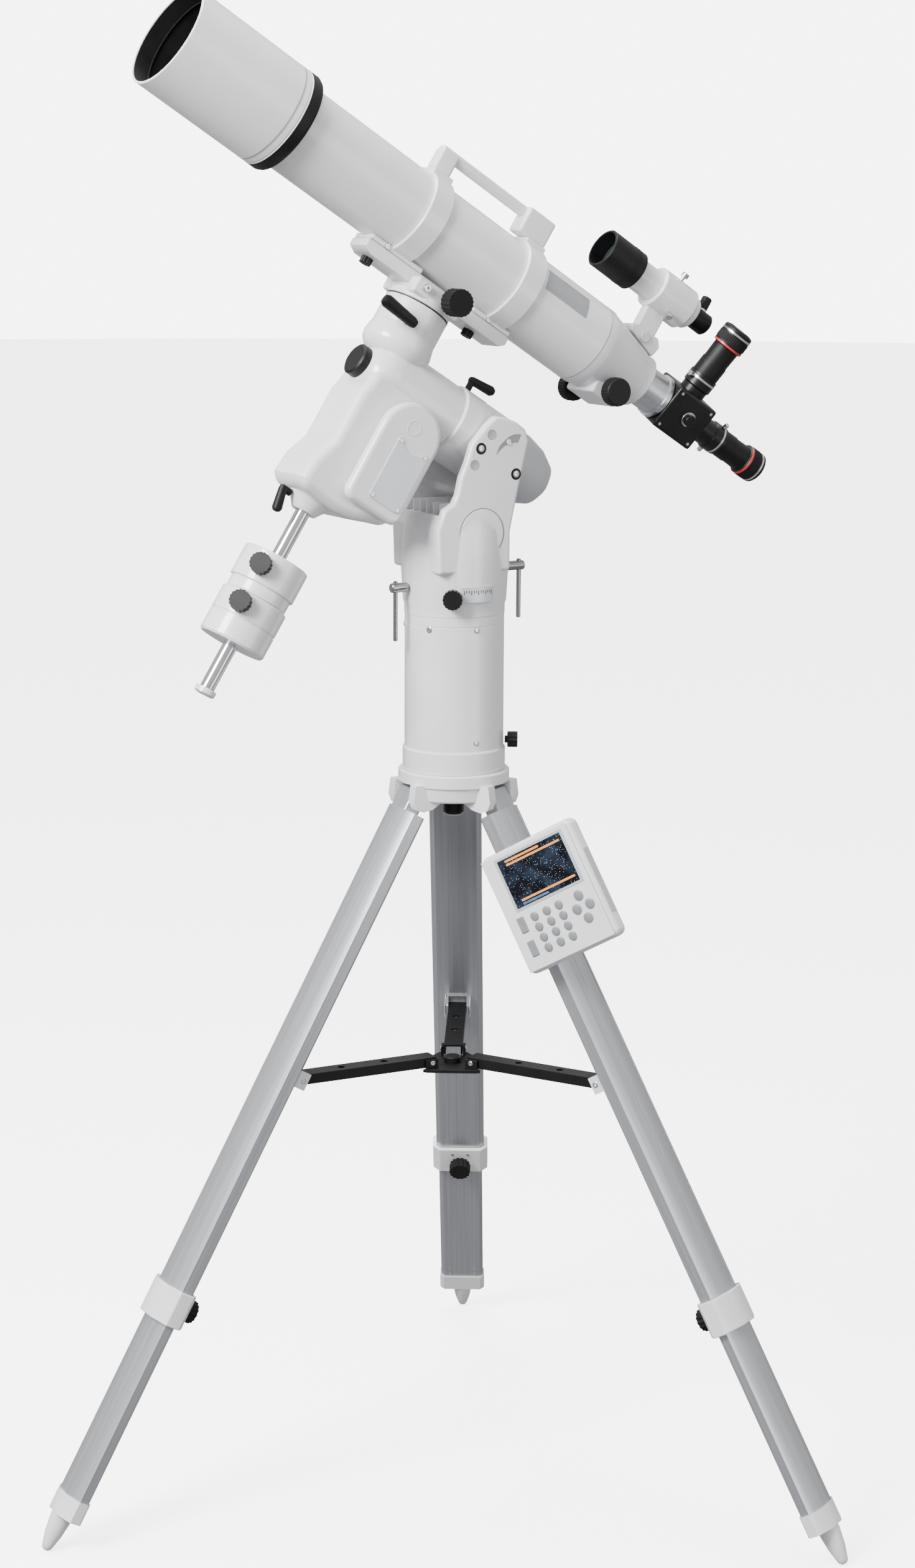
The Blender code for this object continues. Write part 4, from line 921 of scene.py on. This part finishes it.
# tube: dark band and fine stripe on the dew shield, blank label, matt black inside
tube_ring("dew_band", [(DEW_R + 0.35, 302.5), (DEW_R + 0.35, 290), (DEW_R - 1.6, TUBE_FRONT - 1.3),
    (TUBE_R + 0.6, TUBE_FRONT - 1.3), (TUBE_R + 0.6, TUBE_FRONT - 0.6), (DEW_R - 2, 302.5)], "black")
tube_ring("dew_stripe", hoop(DEW_R + 0.2, DEW_R - 0.3, 316.5, 314.0), "stripe")
tube_ring("dew_lining", [(DEW_R - 3.05, DEW_FRONT - 1), (DEW_R - 3.05, 297.5), (TUBE_R + 0.4, 296.3),
    (TUBE_R + 0.4, 295.4), (DEW_R - 3.6, 296.8), (DEW_R - 3.6, DEW_FRONT - 1)], "rubber")
for i, z in enumerate((330, 375, 420, 460)):
    tube_ring(f"dew_baffle_{i}", [(DEW_R - 3.6, z + 0.6), (DEW_R - 3.6, z - 0.6),
        (DEW_R - 5.4, z - 0.4), (DEW_R - 5.4, z + 0.4)], "rubber")
r = TUBE_R + 0.25
band = arc(0, 0, r, 46, 78, 14) + list(reversed(arc(0, 0, r - 0.6, 46, 78, 14)))
on(prism("tube_label", [(y, x) for x, y in band], -200, -124, polar, shift(0, 0, TUBE_Q)
    @ Matrix(((0, 0, 1, 0), (1, 0, 0, 0), (0, 1, 0, 0), (0, 0, 0, 1))), "label"))
tube_ring("focuser_seam", [(TUBE_R + 0.2, TUBE_REAR - 0.2), (TUBE_R + 0.2, TUBE_REAR - 1.2),
    (TUBE_R - 0.6, TUBE_REAR - 1.2), (TUBE_R - 0.6, TUBE_REAR - 0.4)], "stripe")

# focuser grips, draw tube lock screw
for sign in (-1, 1):
    at = aim(FOCUS_P, sign * 50, FOCUS_Q, (0, sign, 0))
    grip = prism(f"focus_grip_{sign}", lobed(19.6, 0.8, 30, 6), 0, 12, polar, at, "rubber", 0.0)
    cut(grip, rod(f"grip_bore_{sign}", 18.0, -5, 30, polar, at, steps=12))
    on(grip, "focus_knobs")
on(rod("draw_lock", 4.5, 0, 11, polar, aim(-338, 0, TUBE_Q + 37.5, TO_Z), "screw", 12, 0.8))

# flip mirror box: small screws, flip knob on its ring, thumbscrews on both ports
for i, (x, y) in enumerate(((-28, -26), (28, -26), (28, 26), (-28, 26))):
    screw_head(f"box_screw_{i}", 2.2, 0.8, polar, box_at @ aim(x, BOX_HALF, y, TO_Y), "drawtube")
on(rod("box_flip_knob", 8.5, 0, 10, polar, box_at @ aim(-4, BOX_HALF, 2, TO_Y), "anodised", 14, 1.0),
    "drawtube")
on(rod("box_flip_ring", 10.5, -0.2, 2.0, polar, box_at @ aim(-4, BOX_HALF, 2, TO_Y), "screw", 16, 0.4),
    "drawtube")
for name, matrix in (("rear", box_at @ shift(-74, 0, 0) @ turn(-90, "Y")),
        ("side", box_at @ shift(0, 0, 53))):
    for k, a in enumerate((200, 20)):
        at = matrix @ turn(a, "Z") @ ALONG_X
        on(rod(f"port_screw_{name}_{k}", 3.6, 21.2, 29, polar, at, "screw", 12, 0.8), "drawtube")


def eyepiece_piece(kind, name, matrix, profile, look, steps, closed=False):
    on(turned(f"eyepiece_{kind}_{name}", profile, polar, matrix, look, steps, closed), "eyepiece_"
        + name)


for name, matrix in EYEPIECES:
    eyepiece_piece("red", name, matrix, [(22.6, 52.6), (22.6, 50.2), (21.8, 49.4), (21.8, 52.6)], "red",
        24, True)
    eyepiece_piece("silver", name, matrix, hoop(22.65, 21.9, 72.4, 69.6), "screw", 24, True)
    grip = prism("eyepiece_grip_" + name, lobed(23.0, 0.5, 44, 6), 55, 67, polar, matrix, "rubber", 0.0)
    cut(grip, rod("eyepiece_grip_bore_" + name, 21.5, 40, 90, polar, matrix, steps=12))
    on(grip, "eyepiece_" + name)
    eyepiece_piece("glass", name, matrix, [(0, 79.0), (8, 78.8), (9.5, 78.2), (9.5, 77.6), (0, 77.6)],
        "glass", 16)
    eyepiece_piece("rim", name, matrix, [(9.8, 78.6), (16.5, 78.9), (17.5, 78.4), (17.5, 77.6),
        (9.8, 77.6)], "rubber", 16, True)
    on(turned("port_ring_" + name, hoop(21.4, 20.6, -5, -8), polar, matrix, "screw", 20, True),
        "drawtube")

# finder: dew cap, eyepiece and light in black, with the two silver adjusting screws
tube_ring("finder_cap", [(cap - 3.3, -202.7), (cap - 0.7, -202.7), (cap + 0.3, -203.8),
    (cap + 0.3, -262.3), (FINDER_R + 0.4, -265.5), (FINDER_R + 0.4, -265.1), (cap - 0.2, -261.8),
    (cap - 3.3, -225.7)], "black", 24, finder_at)
on(turned("finder_cap_floor", [(0, -225.6), (cap - 3.2, -225.6), (cap - 3.2, -225.95), (0, -225.95)],
    polar, finder_at, "glass", 24))
for k, z in enumerate((-244.5, -249.5)):
    tube_ring(f"finder_cap_line_{k}", hoop(cap + 0.7, cap, z, z - 1.2), "rubber", 24, finder_at)
tube_ring("finder_rear_ring", [(FINDER_R + 1.6, -366), (FINDER_R + 1.6, -372), (FINDER_R - 0.4, -374.2),
    (FINDER_R - 0.4, -366)], "tube", 24, finder_at)
on(turned("finder_eye", [(0, -374.4), (15.4, -374.4), (15.4, -404), (13.2, -406.2), (0, -406.2)], polar,
    finder_at, "black", 24))
on(rod("finder_light_skin", 7.4, 15.2, 34.3, polar, aim(-388, 0, FINDER_Q, TO_Z), "black", 14, 1.5))
for k, (y, z) in enumerate(((0.35, 0.94), (0.66, -0.75))):
    at = aim(-331, y * (FINDER_R + 7), FINDER_Q + z * (FINDER_R + 7), (0, y, z))
    on(rod(f"finder_screw_stem_{k}", 2.4, -0.5, 6, polar, at, "screw", 10))
    on(rod(f"finder_screw_{k}", 5.2, 5.5, 12.5, polar, at, "screw", 14, 0.8))
on(rod("finder_shoe_screw", 7.5, 16, 19.5, polar, aim(-318, 0, 252, TO_Y), "pale", 18, 0.8))

# hand controller: face, screen, keys (all blank)
face_x = pad_x + PAD_DEPTH


def on_pad(out, down):
    """A place on the controller's face, from its middle."""
    return (face_x, PAD_OUT + out, -PAD_AT - down)


def pad_tile(name, out, down, size_out, size_down, thick, look, edge):
    """A flat tile on the controller's face."""
    x, y, z = on_pad(out, down)
    on(block(name, (x - 0.4, x + thick), both(size_out / 2, y), both(size_down / 2, z), right_leg, UP,
        look, edge, 3), "hand_controller")


pad_tile("pad_face", 0, 0, 146, 161, 1.0, "tube", 0.8)
pad_tile("pad_bezel", 6, -38, 118, 76, 1.6, "pale", 0.8)
pad_tile("pad_screen", 6, -38, 108, 68, 2.2, "screen", 0.3)
for i, (down, wide) in enumerate(((-68, 58), (-63, 92), (-12, 92), (-7, 44))):
    pad_tile(f"pad_bar_{i}", 6 - (84 - wide) / 2, down, wide, 3.0, 2.5, "orange" if i != 3 else "blue",
        0.1)
for row in range(4):
    for col in range(3):
        x, y, z = on_pad(-8 + (col - 1) * KEY_PITCH[0], 14 + row * KEY_PITCH[1])
        on(turned(f"pad_key_{row}_{col}", [(0, 3.4), (4.6, 3.3), (6.0, 2.4), (6.2, -0.3), (0, -0.3)],
            right_leg, aim(x, y, z, TO_X), "key", 10), "hand_controller")
for k, (out, down) in enumerate(((47, 14), (47, 46), (36, 30), (58, 30))):
    x, y, z = on_pad(out, down)
    on(turned(f"pad_arrow_{k}", [(0, 3.2), (5.2, 3.0), (7.0, 2.0), (7.2, -0.3), (0, -0.3)], right_leg,
        aim(x, y, z, TO_X), "key", 10), "hand_controller")
for k, down in enumerate((18, 52)):
    pad_tile(f"pad_oval_{k}", -52, down, 12, 22, 2.6, "key", 2.2)
for sign in (-1, 1):
    x, y, z = on_pad(0, 0)
    on(block(f"pad_side_grip_{sign}", (pad_x + 8, pad_x + PAD_DEPTH - 8), (y
        + sign * PAD_WIDTH / 2 - 1.0, y + sign * PAD_WIDTH / 2 + 0.6), (z - 52, z + 40), right_leg, UP,
        "grey", 0.4, 1), "hand_controller")

# dark seam where the declination head turns
on(turned("dec_seam", hoop(DEC_R + 0.3, DEC_R - 2, DEC_SEAM - 0.35, DEC_SEAM - 2.0), polar, UP, "black",
    28, True), "ra_body")

# ---- skins onto the frame

RELOOK = {"main_tube": "tube", "dew_shield": "tube", "collar_knob_left": "rubber",
    "collar_knob_right": "rubber", "collar_knob_back": "rubber", "saddle_knob": "rubber",
    "altitude_bolt_front": "chrome", "hand_controller": "tube", "altitude_bolt_rear": "chrome"}
for side in LEG_ANGLES:
    RELOOK["leg_upper_" + side] = RELOOK["leg_lower_" + side] = "leg"

bpy.context.view_layer.update()
graph = bpy.context.evaluated_depsgraph_get()
made_from = [o for o in parts.objects if o.type == "MESH"]
skins = []
for source in made_from:
    ready = source.evaluated_get(graph)
    mesh = bpy.data.meshes.new_from_object(ready, depsgraph=graph)
    mesh.materials.clear()
    look = RELOOK.get(source["piece"], source["look"])
    mesh.materials.append(LOOKS[look])
    mesh.polygons.foreach_set("material_index", [0] * len(mesh.polygons))
    mesh.shade_smooth()
    mesh.set_sharp_from_angle(angle=radians(SHARP_ANGLE))
    own = mesh.attributes.new("local", "FLOAT_VECTOR", "POINT")
    for vertex, place in zip(mesh.vertices, own.data):
        place.vector = vertex.co
    mesh.transform(source.matrix_world)
    if source.matrix_world.determinant() < 0:
        mesh.flip_normals()
    skins.append((source["piece"], source.name, mesh))
for group in (parts, cutters):
    for old in list(group.objects):
        bpy.data.objects.remove(old, do_unlink=True)
pieces = bpy.data.collections.new("pieces")
bpy.context.scene.collection.children.link(pieces)
for name, made_name, mesh in skins:
    skin = bpy.data.objects.new("skin_" + name, mesh)
    pieces.objects.link(skin)
    even = skin.modifiers.new("even_normals", "WEIGHTED_NORMAL")
    even.keep_sharp = True
    if name in body_of_node:
        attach(skin, body_of_node[name])
        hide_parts(name)
    else:
        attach(skin, rides[made_name])

# ---- camera, floor, light
FLOOR_DROP = 0.0005  # keeps the floor clear of the feet, in metres
FLOOR_GLOW, BACKDROP_GLOW, WORLD_GLOW = 3.6, 6.0, 1.15


def stage_surface(name, shape, look_name, glow, **sockets):
    """A bright plain surface round the object that adds nothing to bounced light or reflections."""
    mesh = bpy.data.meshes.new(name)
    shape.to_mesh(mesh)
    shape.free()
    look, _, bsdf = shader(look_name)
    bsdf.inputs["Base Color"].default_value = (0.95, 0.95, 0.95, 1)
    bsdf.inputs["Emission Color"].default_value = (1, 1, 1, 1)
    bsdf.inputs["Emission Strength"].default_value = glow
    for socket, value in sockets.items():
        bsdf.inputs[socket.replace("_", " ")].default_value = value
    mesh.materials.append(look)
    made = bpy.data.objects.new(name, mesh)
    made.visible_diffuse = made.visible_glossy = False
    in_scene(made)
    return made


shape = bmesh.new()
bmesh.ops.create_grid(shape, x_segments=1, y_segments=1, size=30.0)
floor = stage_surface("floor", shape, "studio_floor", FLOOR_GLOW, Roughness=0.9, Specular_IOR_Level=0.1)
floor.location.z = -FLOOR_DROP
shape = bmesh.new()
bmesh.ops.create_uvsphere(shape, u_segments=48, v_segments=24, radius=28.0)
bmesh.ops.reverse_faces(shape, faces=shape.faces)
stage_surface("backdrop", shape, "studio_backdrop", BACKDROP_GLOW)

world = bpy.data.worlds.new("studio")
world.use_nodes = True
sky = world.node_tree
where = node(sky, "ShaderNodeTexCoord")
parts_of = node(sky, "ShaderNodeSeparateXYZ")
link(where, "Generated", parts_of, "Vector")
height = node(sky, "ShaderNodeMapRange", {"From Min": -1.0, "From Max": 1.0})
link(parts_of, "Z", height, "Value")
shade = ramp(sky, 0.25, (0.36, 0.36, 0.37), 0.85, (1.0, 1.0, 1.0))
link(height, "Result", shade, "Fac")
link(shade, "Color", sky.nodes["Background"], "Color")
sky.nodes["Background"].inputs["Strength"].default_value = WORLD_GLOW
bpy.context.scene.world = world


def area(name, size, power, place, target):
    light = bpy.data.lights.new(name, "AREA")
    light.shape = "RECTANGLE"
    light.size, light.size_y = size
    light.energy = power
    made = bpy.data.objects.new(name, light)
    made.location = place
    made.rotation_euler = (Vector(target) - Vector(place)).to_track_quat("-Z", "Y").to_euler()
    in_scene(made)


area("key", (1.6, 1.6), 470, (-2.3, -2.7, 3.6), (0, -0.1, 1.3))
area("fill", (1.2, 2.4), 30, (3.0, -2.4, 1.4), (0, -0.1, 1.2))
area("top", (1.6, 1.6), 120, (-0.4, 0.3, 4.2), (0, -0.1, 1.2))

yaw, pitch, roll = CAMERA_YAW, CAMERA_PITCH, CAMERA_ROLL
ahead = Vector((sin(yaw) * cos(pitch), cos(yaw) * cos(pitch), -sin(pitch)))
right = Vector((cos(yaw), -sin(yaw), 0))
down = ahead.cross(right)
turned_right = right * cos(roll) + down * sin(roll)
turned_down = down * cos(roll) - right * sin(roll)
lens = bpy.data.cameras.new("camera")
lens.sensor_fit = "AUTO"
lens.sensor_width = 36.0
lens.lens = CAMERA_LENS
lens.clip_end = 100
camera = bpy.data.objects.new("camera", lens)
spin = Matrix((turned_right, -turned_down, -ahead)).transposed().to_4x4()
camera.matrix_world = Matrix.Translation(CAMERA_PLACE) @ spin
in_scene(camera)
bpy.context.scene.camera = camera
